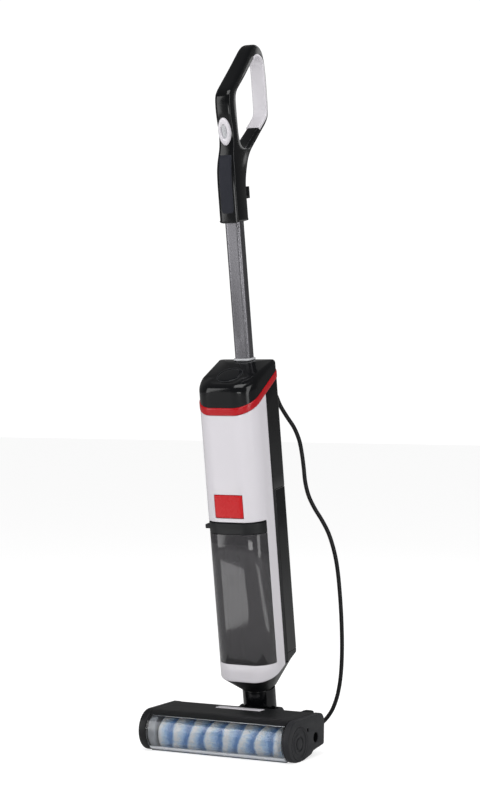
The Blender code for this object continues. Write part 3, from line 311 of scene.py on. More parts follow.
# glossy black ABS: near-black, mirror-like, with the slight waviness of a polished tool
glossBlack = mouldedPlastic("polished_black_abs", "08090B", 0.12, 7.0, 0.03, specular=0.3)
# spark-eroded black ABS: a soft broad shine, and grit 0.4 mm in the real one, drawn at 0.8 mm so that it shows
satinBlack = mouldedPlastic("spark_eroded_black_abs", "141517", 0.4, 0.8, 0.3, specular=0.25)
# the removable end cap is a shade lighter and duller than the housing
capGrey = mouldedPlastic("spark_eroded_grey_abs", "222326", 0.48, 0.8, 0.3, specular=0.25)
# soft-feel paint on the stem: dull, blue-grey
softStem = mouldedPlastic("soft_touch_blue_grey", "1B1D26", 0.5, 0.6, 0.2, specular=0.22)
# glossy white ABS, a little pink-grey, with a clear wide highlight
glossWhite = mouldedPlastic("polished_white_abs", "CFCCD1", 0.22, 5.0, 0.03, tone=0.012, specular=0.4)
# red ABS: deep and glossy on the ring, a little brighter and softer on the button
glossRed = mouldedPlastic("polished_red_abs", "A80713", 0.22, 5.0, 0.03, tone=0.04, specular=0.35)
buttonRed = mouldedPlastic("polished_bright_red_abs", "B80711", 0.26, 5.0, 0.04, tone=0.03, specular=0.3)
# unpainted polypropylene: dull, with a fine even grain
greyPlastic = mouldedPlastic("moulded_grey_pp", "77787C", 0.48, 0.9, 0.25)
palePlastic = mouldedPlastic("moulded_pale_grey_pp", "B9BABD", 0.4, 0.9, 0.2)
# rubber is matt and PVC sheath a little slick
rubber = mouldedPlastic("moulded_black_rubber", "161617", 0.78, 0.5, 0.45, specular=0.3)
sheath = mouldedPlastic("extruded_pvc_sheath", "0E0E10", 0.42, 1.2, 0.2, specular=0.25)
# the display's glass mirrors; the wells of the end cap are lined near-black as painted shade
lens = mouldedPlastic("black_glass_lens", "05070A", 0.06, 9.0, 0.01, specular=0.4)
shadowGap = mouldedPlastic("painted_shade_well", "050506", 0.8, 2.0, 0.1, specular=0.1)


def drawnMetal(name, colour, roughness, along, lineWidth, anisotropy=0.5):
    # drawn or brushed metal: fine lines along one axis that vary the roughness and catch the light
    material, tree = newMaterial(name, {"Metallic": 1.0, "Anisotropic": anisotropy})
    stretch = [perSize(lineWidth)] * 3
    stretch[along] = perSize(90)
    lay = addNode(tree, "Mapping", {"Scale": stretch}, {"Vector": addNode(tree, "TexCoord").outputs["Object"]})
    lines = addNode(
        tree, "TexNoise", {"Scale": 1.0, "Detail": 4.0, "Roughness": 0.6}, {"Vector": lay.outputs["Vector"]})
    addNode(
        tree, "MixRGB", {"Color1": toned(colour, 0.86), "Color2": toned(colour, 1.14)}, {"Fac": lines.outputs["Fac"]},
        {"Base Color": "Color"})
    addNode(
        tree, "MapRange", {"From Min": 0.3, "From Max": 0.7, "To Min": roughness * 0.8, "To Max": roughness * 1.3},
        {"Value": lines.outputs["Fac"]}, {"Roughness": "Result"})
    addNode(
        tree, "Bump", {"Strength": 0.12, "Distance": 0.0001}, {"Height": lines.outputs["Fac"]}, {"Normal": "Normal"})
    return material


# anodised aluminium tube: grey, satin, with drawing lines along it
anodised = drawnMetal("anodised_drawn_aluminium", "77767A", 0.28, 2, 0.9)
# turned steel: brighter and smoother
turnedSteel = drawnMetal("turned_steel", "B4B6BA", 0.22, 0, 0.5, anisotropy=0.2)
plugPinMetal = drawnMetal("nickel_plated_brass", "C9C4B4", 0.18, 0, 0.5, anisotropy=0.0)


def clearPlastic(name, colour, ior, roughness, smearSize, clear=1.0):
    # transparent plastic: coloured by what passes through, with faint moulding haze in the roughness
    material, tree = newMaterial(name, {"Base Color": toLinear(colour), "IOR": ior, "Transmission Weight": clear})
    haze = addNode(
        tree, "TexNoise", {"Scale": perSize(smearSize), "Detail": 4.0},
        {"Vector": addNode(tree, "TexCoord").outputs["Object"]})
    addNode(
        tree, "MapRange", {"From Min": 0.35, "From Max": 0.7, "To Min": roughness, "To Max": roughness + 0.05},
        {"Value": haze.outputs["Fac"]}, {"Roughness": "Result"})
    return material


# smoked copolymer tank: grey-brown to look through, sharp highlights down its corners
smoked = clearPlastic("smoked_clear_copolymer", "747276", 1.5, 0.06, 30, clear=0.8)
# clear polycarbonate window: colourless with a bright edge
clearWindow = clearPlastic("clear_polycarbonate", "F4F7FA", 1.45, 0.01, 40)
# the window's thick bead drawn as opaque near-white plastic: a painted highlight for the light a clear edge gathers
lipHighlightPaint = mouldedPlastic("painted_highlight_lip", "F0F3F8", 0.25, 3.0, 0.05, tone=0.02)

# circuit board: green lacquer over copper runs 1.5 mm apart
boardGreen, tree = newMaterial("lacquered_circuit_board", {"Roughness": 0.38})
addNode(
    tree, "TexBrick", {"Scale": perSize(6.0), "Color1": toLinear("1E5A3A"), "Color2": toLinear("246B45"),
    "Mortar": toLinear("3C8A5C"), "Mortar Size": 0.06}, {"Vector": addNode(tree, "TexCoord").outputs["Object"]},
    {"Base Color": "Color"})

# microfibre pile: white tips and sky blue below, the cloth's own colours, with a deeper blue towards the bottoms of
# the gaps that is painted shade; a soft sheen
pileDyeAndShadeTones = ((0.3, "FFFFFF"), (0.46, "E2F1FF"), (0.7, "B2D5F7"), (1.0, "6A97D6"))
microfibre, tree = newMaterial(
    "blue_white_microfibre", {"Roughness": 0.92, "Sheen Weight": 0.5, "Sheen Roughness": 0.5,
    "Specular IOR Level": 0.15})
# the gap mark carries painted shade: the deeper the gap, the darker the blue
gap = addNode(tree, "Attribute", {"attribute_name": "gap"})
place = {"Vector": addNode(tree, "TexCoord").outputs["Object"]}
strand = addNode(tree, "TexNoise", {"Scale": perSize(1.3), "Detail": 5.0, "Roughness": 0.7}, place)
cloud = addNode(tree, "TexNoise", {"Scale": perSize(13), "Detail": 3.0}, place)
depth = addNode(
    tree, "Math", {"operation": "MULTIPLY_ADD", 1: 0.34}, {0: strand.outputs["Fac"], 2: gap.outputs["Fac"]})
depth = addNode(
    tree, "Math", {"operation": "MULTIPLY_ADD", 1: 0.22}, {0: cloud.outputs["Fac"], 2: depth.outputs["Value"]})
ramp = addNode(tree, "ValToRGB", None, {"Fac": depth.outputs["Value"]}, {"Base Color": "Color"}).color_ramp
for position, colour in pileDyeAndShadeTones[1:-1]:
    ramp.elements.new(position)
for stop, (position, colour) in zip(ramp.elements, pileDyeAndShadeTones):
    stop.position, stop.color = position, toLinear(colour)
addNode(tree, "Bump", {"Strength": 0.55, "Distance": 0.0008}, {"Height": strand.outputs["Fac"]}, {"Normal": "Normal"})
print("materials made")

view = {"azimuth": 29.0, "down": 0.69, "place": (1.6854, -3.0458, 0.606), "lens": 97.2, "sensor": 36.0}
cameraData = bpy.data.cameras.new("camera")
cameraData.sensor_fit = "VERTICAL"
cameraData.sensor_height = view["sensor"]
cameraData.lens = view["lens"]
camera = bpy.data.objects.new("camera", cameraData)
camera.location = view["place"]
camera.rotation_euler = (math.radians(90 - view["down"]), 0, math.radians(view["azimuth"]))
link(camera)
bpy.context.scene.camera = camera
bpy.context.scene.view_settings.view_transform = "Standard"

# matt floor: mid grey in light and reflections, lifted to white where it is looked at
floorPaint, tree = newMaterial(
    "matt_white_floor", {"Base Color": toLinear("C4C4C4"), "Roughness": 0.9, "Specular IOR Level": 0.1,
    "Emission Color": (1, 1, 1, 1)})
looked = addNode(tree, "LightPath")
addNode(
    tree, "MapRange", {"To Min": 0.05, "To Max": 0.66}, {"Value": looked.outputs["Is Camera Ray"]},
    {"Emission Strength": "Result"})
floorMesh = bpy.data.meshes.new("floor")
floorMesh.from_pydata([(-14, -14, 0), (14, -14, 0), (14, 14, 0), (-14, 14, 0)], [], [(0, 1, 2, 3)])
floorMesh.materials.append(floorPaint)
floor = bpy.data.objects.new("floor", floorMesh)
link(floor)

world = bpy.data.worlds.new("studio")
bpy.context.scene.world = world
world.use_nodes = True
# white where it is looked at, a grey room to light by, and a darker one in reflections
room = world.node_tree
seen = addNode(room, "LightPath")
grey = addNode(room, "MapRange", {"To Min": 0.54, "To Max": 0.17}, {"Value": seen.outputs["Is Glossy Ray"]})
strength = addNode(room, "Mix", {"B": 1.06}, {"Factor": seen.outputs["Is Camera Ray"], "A": grey.outputs["Result"]})
room.nodes["Background"].inputs["Color"].default_value = (1.0, 1.0, 1.0, 1)
room.links.new(strength.outputs["Result"], room.nodes["Background"].inputs["Strength"])

softboxes = {      # place, aimed at, width, height, watts; the two low ones lie on the floor and face up
    "key_left": ((-2.0, -2.25, 1.2), (0, 0, 0.5), 1.2, 2.2, 26),
    "strip_right": ((1.95, -0.8, 1.1), (0, 0, 0.5), 0.6, 2.2, 15),
    "top": ((0.3, -1.3, 3.0), (0, 0, 0.4), 1.8, 1.4, 34),
    "front_low": ((1.0, -2.6, 0.35), (0, 0, 0.06), 1.0, 0.4, 7),
    "low_left": ((-0.55, -0.72, 0.012), (-0.56, -0.73, 1.0), 0.26, 0.9, 1.6),
    "low_right": ((0.78, -0.36, 0.012), (0.79, -0.36, 1.0), 0.9, 0.22, 1.3),
    "back": ((0.5, 2.6, 2.0), (0, 0, 0.6), 1.4, 1.4, 10),
}
for name, (at, aim, wide, tall, watts) in softboxes.items():
    lamp = bpy.data.lights.new(name, "AREA")
    lamp.shape, lamp.size, lamp.size_y, lamp.energy = "RECTANGLE", wide, tall, watts
    box = bpy.data.objects.new(name, lamp)
    box.location = at
    box.rotation_euler = (Vector(aim) - Vector(at)).to_track_quat("-Z", "Y").to_euler()
    box.visible_camera = False
    link(box)
print("camera, floor and lights placed")

cord = {
    "radius": 0.0035, "sides": 12, "centre": (-0.075, 0.2037), "spacing": 0.0074, "rows": 3, "columns": 5,
    "middle": 0.05, "lowest": 0.0038, "shiftOver": 70.0, "perTurn": 40}
# the free stretch, the same route as the cord's solid, in the head's frame
cordRoute = [
    (0.002, 0.1266, 0.5817), (0.002, 0.1345, 0.5829), (0.002, 0.1425, 0.5836),
    (0.002, 0.1505, 0.5829), (0.002, 0.1581, 0.5806), (0.002, 0.1651, 0.5767),
    (0.002, 0.1711, 0.5715), (0.0021, 0.1846, 0.556), (0.0049, 0.1975, 0.5405),
    (0.0125, 0.21, 0.5222), (0.0183, 0.2195, 0.5025), (0.021, 0.2255, 0.4828),
    (0.0225, 0.229, 0.4631), (0.0242, 0.231, 0.4435), (0.0258, 0.2325, 0.4238),
    (0.0296, 0.2355, 0.4041), (0.0364, 0.2415, 0.3842), (0.0462, 0.249, 0.3642),
    (0.0553, 0.255, 0.3443), (0.0613, 0.259, 0.3244), (0.0662, 0.262, 0.3045),
    (0.0705, 0.2645, 0.275), (0.0738, 0.2665, 0.235), (0.076, 0.268, 0.19),
    (0.0765, 0.269, 0.145), (0.0745, 0.2695, 0.105), (0.069, 0.2695, 0.07),
    (0.059, 0.2675, 0.04), (0.043, 0.262, 0.018), (0.024, 0.2525, 0.0065),
    (0.006, 0.24, 0.0038), (-0.0105, 0.2265, 0.0038),
]


def coilPath():
    # each turn keeps its radius and height for most of a turn and moves to the next place over the last part;
    # the rows run inwards, outwards and inwards again
    across = (np.arange(cord["columns"]) - (cord["columns"] - 1) / 2) * cord["spacing"]
    inwards = cord["middle"] + across[::-1]
    radii = np.concatenate([inwards if row % 2 == 0 else inwards[::-1] for row in range(cord["rows"])])
    heights = np.repeat(cord["lowest"] + np.arange(cord["rows"]) * (cord["spacing"] - 0.0001), cord["columns"])
    turns = len(radii)
    wind = np.arange(int((turns - 0.75) * cord["perTurn"]) + 1) / cord["perTurn"]
    number = np.minimum(wind.astype(int), turns - 1)
    later = np.minimum(number + 1, turns - 1)
    share = smoothStep(wind - number, 1 - cord["shiftOver"] / 360, 1)
    radius = radii[number] * (1 - share) + radii[later] * share
    height = heights[number] * (1 - share) + heights[later] * share
    angle = np.radians(-90 - 360 * wind)
    return np.stack(
        [cord["centre"][0] + radius * np.cos(angle), cord["centre"][1] + radius * np.sin(angle), height], axis=-1)


plugLow, plugHigh = (np.array(corner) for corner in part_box("mains_plug"))
plugMiddle = (plugLow + plugHigh) / 2
coil = coilPath()
freePath = smoothLine(fromHead(cordRoute), 150)
meet = np.array([(-0.0259, 0.1546, 0.0038), (-0.0414, 0.1456, 0.0038), (-0.0578, 0.1406, 0.0038)])
# off the last turn, up and over the others in one long hump, and down into the plug
leave = np.array([
    (-0.1096, 0.213, 0.0205), (-0.1077, 0.2211, 0.0235), (-0.106, 0.2297, 0.0252), (-0.1045, 0.243, 0.0257),
    (-0.1, 0.256, 0.0258), (-0.093, 0.267, 0.0254), (-0.083, 0.2758, 0.0218), (-0.07, 0.282, 0.015),
    (-0.058, 0.2842, 0.0118), (-0.052, 0.2842, 0.0115)])
coarse = np.concatenate([freePath[::5], meet, coil[::2], leave])
wholePath = smoothLine(coarse, 1100)
mainsCord = gridPiece("mains_cord", tubePoints(wholePath, cord["radius"], cord["sides"]), sheath, "cord_rubber")
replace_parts(mainsCord, "power_cord", "cord_coil")


def reliefPiece():
    # a tapered sleeve of rings and grooves round the cord, turned about the line backwards out of the shell
    profile = [(0.0, 0.0), (0.0095, 0.0), (0.0095, 0.0022)]
    for ring in range(6):
        radius, start = 0.007 - ring * 0.00042, 0.0035 + ring * 0.0052
        profile += [
            (radius - 0.0009, start), (radius, start + 0.0006), (radius - 0.0002, start + 0.0036),
            (radius - 0.001, start + 0.0042)]
    profile += [(0.0042, 0.035), (0.0036, 0.0352)]
    turned = turnedPoints(roundedProfile(profile, 0.0004, 2), 40)
    turned = np.stack([turned[..., 0] + 0.002, turned[..., 2] + 0.0493, turned[..., 1] + 0.53], axis=-1)
    piece = gridPiece("cord_relief_sleeve", fromBody(turned), rubber, "black_rubber")
    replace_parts(piece, "strain_relief")


reliefPiece()


def plugPieces():
    # the plug's body is a rounded box that narrows to the cord: its section is a superellipse whose half width
    # and half height follow the length
    along = np.array([0, 0.002, 0.009, 0.016, 0.0205, 0.024, 0.034, 0.037, 0.0378])
    wide = np.array([0.0052, 0.0058, 0.0063, 0.0072, 0.0086, 0.009, 0.009, 0.0084, 0.007])
    tall = np.array([0.0052, 0.0058, 0.0065, 0.0078, 0.01, 0.011, 0.011, 0.0104, 0.009])
    power = np.array([1, 1, 1, 0.9, 0.6, 0.5, 0.5, 0.55, 0.6])
    fine = np.linspace(0, along[-1], 44)
    wide, tall, power = (np.interp(fine, along, values) for values in (wide, tall, power))
    angle = np.linspace(0, 2 * np.pi, 40, endpoint=False)
    cosine, sine = np.cos(angle), np.sin(angle)
    y = wide[:, None] * np.sign(cosine) * np.abs(cosine) ** power[:, None]
    z = tall[:, None] * np.sign(sine) * np.abs(sine) ** power[:, None]
    x = np.broadcast_to(fine[:, None], y.shape)
    points = np.stack([x + plugLow[0], y + plugMiddle[1], z + 0.0115], axis=-1)
    plugBody = gridPiece("plug_body", points, rubber, "cord_rubber")
    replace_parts(plugBody, "mains_plug")
    pins = []
    for offset in (-0.0055, 0.0055):
        pin = turnedPoints(
            roundedProfile([(0.0, 0.018), (0.0024, 0.018), (0.0024, -0.001), (0.0, -0.001)], 0.0012), 24)
        pin = np.stack(
            [pin[..., 2] + plugLow[0] + 0.0375, pin[..., 0] + plugMiddle[1] + offset, pin[..., 1] + 0.0115], axis=-1)
        pins.append(gridPiece("plug_pin", pin, plugPinMetal, "steel"))
    return plugBody, joinPieces("plug_pins", pins)


plug, plugPins = plugPieces()


# CAD pieces whose shape is right keep it and take their real finish
nodeFinishes = (
    (rubber, ("cord_tie", "squeegee", "drive_belt", "neck_hose")),
    (satinBlack, ("head_housing", "neck_bracket", "chassis", "cord_hook_upper", "cord_hook_lower")),
    (greyPlastic, ("suction_duct", "spray_bar", "roller_pulley", "roller_core", "water_pump", "standpipe",
                   "clean_tank_cap")),
    (palePlastic, ("tank_filter", "tank_float", "power_rocker")),
    (turnedSteel, ("drive_motor", "motor_pulley", "roller_bearing", "wheel_axle", "neck_pin_left", "neck_pin_right",
                   "suction_motor", "impeller", "latch_bracket", "release_spring")),
    (boardGreen, ("control_board",)),
)
for material, nodes in nodeFinishes:
    for node in nodes:
        nodeMesh = frame["nodes"][node].data
        nodeMesh.materials.clear()
        nodeMesh.materials.append(material)
print("CAD pieces finished")


bodyShape = {"half": 0.052, "front": -0.054, "back": 0.049, "frontRadius": 0.033, "backRadius": 0.009}
bodyLow = (0.09, 0.33)          # height of the shell's lower edge at depth 0, and its slope
ringLow = (0.5348, 0.477)        # the same for the red ring


def loftRows(rows, shape, count=14, highest=9.0):
    # each row is an outline at an inset, lifted to height + slope x depth and cut off at a highest level
    out = []
    for inset, height, slope in rows:
        line = roundedOutline(**shape, inset=inset, count=count)
        out.append(np.column_stack([line, np.minimum(height + slope * line[:, 1], highest)]))
    return np.stack(out)


def rimmed(low, high, rim, steps=5):
    # (inset, height, 0) rows up a wall whose two edges follow quarter circles of radius rim
    bend = np.radians(np.linspace(0, 90, steps))
    inset, drop = rim * (1 - np.sin(bend)), rim * (1 - np.cos(bend))
    return (
        [(a, low + b, 0) for a, b in zip(inset, drop)] + [(a, high - b, 0) for a, b in zip(inset[::-1], drop[::-1])])


def blockPiece(name, shape, low, high, rim, material, slot, body="main_body", place=fromBody):
    return gridPiece(name, place(loftRows(rimmed(low, high, rim), shape)), material, slot, body)


def thicken(piece, thickness):
    # gives an open sheet a wall on its inner side
    wall = piece.modifiers.new("wall", "SOLIDIFY")
    wall.thickness, wall.offset = thickness, -1
    return wall


def shellSheet(name, line, levels, dropped, material, slot, replaced):
    # an open wall along a line, one row of points per level, without the faces over its openings; it is
    # thickened inwards and its edges are rounded
    points = np.concatenate(
        [np.broadcast_to(line, (len(levels),) + line.shape), levels[..., None]], axis=-1).reshape(-1, 3)
    quads = np.array(gridFaces(len(levels), len(line), closeColumns=False))
    quads = quads[~dropped(points[quads].mean(axis=1))]
    used, numbers = np.unique(quads, return_inverse=True)
    piece = finishMesh(name, fromBody(points[used]), numbers.reshape(-1, 4).tolist(), material, slot, outward=False)
    thicken(piece, 0.0025).use_even_offset = True
    edge = piece.modifiers.new("edge", "BEVEL")
    edge.width, edge.segments, edge.limit_method, edge.angle_limit = 0.0005, 2, "ANGLE", math.radians(40)
    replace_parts(piece, replaced)
    return piece


def frontShell():
    # columns fall on the sides of the tank bay and of the button hole
    turn = np.radians([0, 2.3, 4.6, 6.96, 12, 18, 24, 30, 36, 42, 48, 54, 60, 66, 72, 77.75, 84, 90])
    corner = np.column_stack([0.019 + 0.033 * np.cos(turn), -0.021 - 0.033 * np.sin(turn)])
    side = np.column_stack([np.full(6, 0.052), np.linspace(0.0018, -0.0195, 6)])
    right = np.concatenate([side, corner])
    flat = np.column_stack([np.linspace(-0.0175, 0.0175, 6), np.full(6, -0.054)])
    line = np.concatenate([right * (-1, 1), flat, right[::-1]])
    low, top = bodyLow[0] + bodyLow[1] * line[:, 1], ringLow[0] - 0.0003 + ringLow[1] * line[:, 1]
    levels = [low + (0.1007 - low) * share for share in (0, 0.1, 0.5, 1)]
    levels += [np.full(len(line), height) for height in (0.13, 0.17, 0.21, 0.25, 0.29, 0.336, 0.3422, 0.36, 0.3808)]
    levels += [0.3808 + (top - 0.3808) * share for share in (0.2, 0.4, 0.6, 0.8, 0.97, 1)]

    def dropped(middle):
        bay = (middle[:, 1] < -0.025) & (middle[:, 2] > 0.1007) & (middle[:, 2] < 0.336)
        hole = (np.abs(middle[:, 0]) < 0.0259) & (middle[:, 1] < -0.03) & (np.abs(middle[:, 2] - 0.3615) < 0.0193)
        return bay | hole
    return shellSheet("front_cover", line, np.stack(levels), dropped, glossWhite, "white_gloss", "front_shell")


def backShell():
    side = np.column_stack([np.full(8, 0.052), np.linspace(0.0024, 0.039, 8)])
    right = np.concatenate([side, cornerArc((0.043, 0.04), 0.009, 0, 90, 12)])
    line = np.concatenate([right, right[::-1] * (-1, 1)])
    top = ringLow[0] - 0.0003 + ringLow[1] * line[:, 1]
    levels = np.stack([0.3787 + (top - 0.3787) * share for share in np.linspace(0, 1, 9)])
    return shellSheet(
        "back_cover", line, levels, lambda middle: np.zeros(len(middle), bool), glossBlack, "black_gloss",
        "back_shell")


frontShell()
backShell()
cleanShape = {"half": 0.052, "front": 0.0109, "back": 0.049, "frontRadius": 0.0015, "backRadius": 0.009}
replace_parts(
    blockPiece("clean_tank_body", cleanShape, 0.1064, 0.378, 0.0016, glossBlack, "black_gloss", "clean_tank"),
    "clean_water_tank")


def funnelPiece():
    # each section runs straight from the body's sloping lower edge to a circle round the neck
    line = roundedOutline(**bodyShape, inset=0.0006)
    circle = line / np.linalg.norm(line, axis=1, keepdims=True) * 0.0282
    top = bodyLow[0] - 0.0006 + bodyLow[1] * line[:, 1]
    rows = []
    for share, shrink in ((0, 0.0008), (0.012, 0), *((s, 0) for s in np.linspace(0.06, 0.97, 14)), (1, 0.0006)):
        flat = line + (circle - line) * share
        flat = flat * (1 - shrink / np.linalg.norm(flat, axis=1, keepdims=True))
        rows.append(np.column_stack([flat, top + (0.0493 - top) * share]))
    piece = gridPiece("body_foot", fromBody(np.stack(rows)), satinBlack, "black_satin")
    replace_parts(piece, "bottom_funnel")
    # wedge under the clean tank's flat bottom
    wedge = loftRows(
        [(0.0004, 0.087, bodyLow[1]), (0.0002, 0.089, bodyLow[1]), (0.0002, 0.1055, 0), (0.0006, 0.106, 0)],
        cleanShape)
    gridPiece("tank_rest", fromBody(wedge), glossBlack, "black_gloss")


funnelPiece()


def ringPiece():
    # section: a superellipse 4.2 mm by 11.8 mm, so its outer face is flat and its edges round
    angle = np.linspace(0, 2 * np.pi, 28, endpoint=False)
    across = 0.0011 - 0.002 * np.sign(np.cos(angle)) * np.abs(np.cos(angle)) ** 0.4
    up = 0.0059 + 0.0059 * np.sign(np.sin(angle)) * np.abs(np.sin(angle)) ** 0.4
    rows = [(a, ringLow[0] + b, ringLow[1]) for a, b in zip(across, up)]
    piece = gridPiece("body_ring", fromBody(loftRows(rows, bodyShape)), glossRed, "red_trim", closeRows=True)
    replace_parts(piece, "red_trim_ring")


ringPiece()


def consolePiece():
    # wall up from the ring, a round edge of 5 mm behind and 13 mm in front, then ever smaller outlines over the
    # slanted top, which is level above 0.585
    def top(line):
        slanted, level = 0.576 + 0.408 * line[:, 1], 0.585
        return -0.0015 * np.logaddexp(-slanted / 0.0015, -level / 0.0015)
    rows = []
    base = roundedOutline(**bodyShape, inset=0.0004)
    low = ringLow[0] + 0.0121 + ringLow[1] * base[:, 1]
    inward, forward = inwardNormals(base, True), smoothStep(-base[:, 1], -0.03, 0.045)[:, None]
    corner = 2 * np.abs(inward[:, :1] * inward[:, 1:])
    wide, tall = 0.005 + forward * (0.0085 + 0.011 * corner), 0.005 + forward * (0.0085 + 0.008 * corner)
    edge = top(base + inward * wide)
    for share in (0, 0.03, 0.35, 0.7, 1):
        rows.append(np.column_stack([base, low + (edge - tall[:, 0] - low) * share]))
    for bend in np.radians(np.linspace(8, 90, 12)):
        line = base + inward * wide * (1 - math.cos(bend))
        rows.append(np.column_stack([line, edge - tall[:, 0] * (1 - math.sin(bend))]))
    for share in np.linspace(0.93, 0.03, 22):
        small = line * share
        rows.append(np.column_stack([small, top(small)]))
    piece = gridPiece("console_cover", fromBody(np.stack(rows)), glossBlack, "black_gloss")
    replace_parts(piece, "console_cap")


consolePiece()


def turnedOn(profile, centre, out, count=64, start=fromBody):
    # a turned shape whose profile heights run along out
    out = np.asarray(out, float) / np.linalg.norm(out)
    side = np.cross(out, (0.0, 1.0, 0.0) if abs(out[1]) < 0.9 else (1.0, 0.0, 0.0))
    side /= np.linalg.norm(side)
    flat = turnedPoints(profile, count)
    return start(
        np.asarray(centre) + flat[..., :1] * side + flat[..., 1:2] * np.cross(out, side) + flat[..., 2:] * out)


displayOut, displayAt = (0, -0.408, 1), (0, -0.018, 0.576 - 0.408 * 0.018)
glass = [
    (0.0003, 0.0011), (0.008, 0.001), (0.015, 0.0008), (0.0196, 0.0005), (0.0202, 0.0), (0.0202, -0.002),
    (0.0003, -0.002)]
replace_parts(gridPiece("display_glass", turnedOn(glass, displayAt, displayOut), lens, "black_gloss"), "display_lens")
bezel = roundedProfile(
    [(0.0203, -0.001), (0.0203, 0.0008), (0.0216, 0.0008), (0.0222, -0.001), (0.0203, -0.001)], 0.0004)
gridPiece("display_rim", turnedOn(bezel[:-1], displayAt, displayOut), capGrey, "black_gloss", closeRows=True)

tubeShape = {"half": 0.014, "front": 0.0248, "back": 0.0448, "frontRadius": 0.006, "backRadius": 0.006}
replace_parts(blockPiece("steering_tube", tubeShape, 0.5, 0.862, 0.0006, anodised, "anodised_tube"), "handle_tube")
collarShape = {"half": 0.0168, "front": 0.022, "back": 0.0476, "frontRadius": 0.0088, "backRadius": 0.0088}
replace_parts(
    blockPiece("tube_foot_collar", collarShape, 0.5853, 0.5888, 0.0012, palePlastic, "grey_plastic"), "tube_collar")


def frontDepth(x):
    # depth of the body's front at a place across it
    beyond = np.clip(np.abs(x) - 0.019, 0, 0.033)
    return -0.021 - np.sqrt(0.033 ** 2 - beyond ** 2)


def pillow(half, low, high, depth, proud, dive, edge=0.86, power=7.0, across=41, up=25):
    # a patch with a superellipse outline; it stands proud and dives behind the surface at its edge
    u, t = np.meshgrid(np.linspace(-1, 1, across), np.linspace(-1, 1, up))
    square = np.maximum(np.maximum(np.abs(u), np.abs(t)), 1e-6)
    reach = square / np.maximum((np.abs(u) ** power + np.abs(t) ** power) ** (1 / power), 1e-6)
    x, w = half * u * reach, (low + high) / 2 + (high - low) / 2 * t * reach
    v = depth(x, w) - proud + dive * smoothStep(square, edge, 1.0)
    return np.stack([x, v, w], axis=-1)


button = gridPiece(
    "button_face", fromBody(pillow(0.0257, 0.3426, 0.3804, lambda x, w: frontDepth(x), 0.0008, 0.0014, 0.94, 18.0)),
    buttonRed, "red_button", "button", closeColumns=False, outward=False)
thicken(button, 0.0024)
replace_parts(button, "release_button")


def tankLine(inset):
    # flush with the body in front, stepped inwards at the bay's sides, narrower behind
    radius = 0.0327 - inset
    turn = np.linspace(math.asin((0.0044 + inset) / radius), math.pi / 2, 18)
    right = np.column_stack([0.019 + radius * np.cos(turn), -0.021 - radius * np.sin(turn)])
    narrow, back, step = 0.0487 - inset, -0.001 - inset, -0.0254 - inset
    return np.concatenate([
        [(narrow, back), (-narrow, back), (-narrow, step)], right * (-1, 1), right[::-1], [(narrow, step)]])


def tankPieces():
    def rows(levels):
        return np.stack([np.column_stack([tankLine(inset), np.full(40, height)]) for inset, height in levels])
    walls = [
        (0.0012, 0.101), (0.0004, 0.1013), (0.0, 0.1022), (0.0, 0.16), (0.0, 0.26), (0.0, 0.3147), (0.0004, 0.3154),
        (0.0011, 0.3157), (0.0018, 0.3154), (0.0022, 0.3147), (0.0022, 0.26), (0.0022, 0.16), (0.0022, 0.1052),
        (0.0028, 0.104), (0.004, 0.1035)]
    tank = gridPiece("dirty_tank_shell", fromBody(rows(walls)), smoked, "smoked_tank", "dirty_tank", smooth=50)
    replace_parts(tank, "dirty_water_tank")
    cover = [(a, b) for a, b, _ in rimmed(0.316, 0.334, 0.0012)]
    lid = gridPiece("dirty_tank_lid", fromBody(rows(cover)), satinBlack, "black_satin", "dirty_tank", smooth=50)
    lugShape = {"half": 0.007, "front": -0.04, "back": -0.027, "frontRadius": 0.0015, "backRadius": 0.0015}
    lug = gridPiece(
        "lid_lug", fromBody(loftRows(rimmed(0.3215, 0.3285, 0.0012), lugShape) + (-0.0472, 0, 0)), satinBlack,
        "black_satin", "dirty_tank")
    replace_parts(joinPieces("dirty_tank_lid", [lid, lug]), "tank_lid")


tankPieces()


def neckPiece():
    ring = roundedProfile(
        [(0.0215, 0.032), (0.0215, 0.012), (0.025, 0.012), (0.027, 0.0135), (0.027, 0.049), (0.0215, 0.049),
        (0.0215, 0.032)], 0.0012)[:-1]
    pieces = [
        gridPiece("neck_ring", turnedOn(ring, (0, 0, 0), (0, 0, 1), 80), glossBlack, "black_gloss", "neck",
        closeRows=True)]
    arm = np.concatenate([[(-0.0148, 0.013)], cornerArc((0, 0), 0.015, 180, 360, 28), [(0.0148, 0.013)]])
    for low, high in ((-0.0288, -0.0223), (0.0223, 0.0288)):
        pieces.append(
            platePiece("neck_arm", [arm], low, high, 0.001, glossBlack, "black_gloss", "neck", place=fromBody))
    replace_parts(joinPieces("neck_collar", pieces), "neck_yoke")


neckPiece()


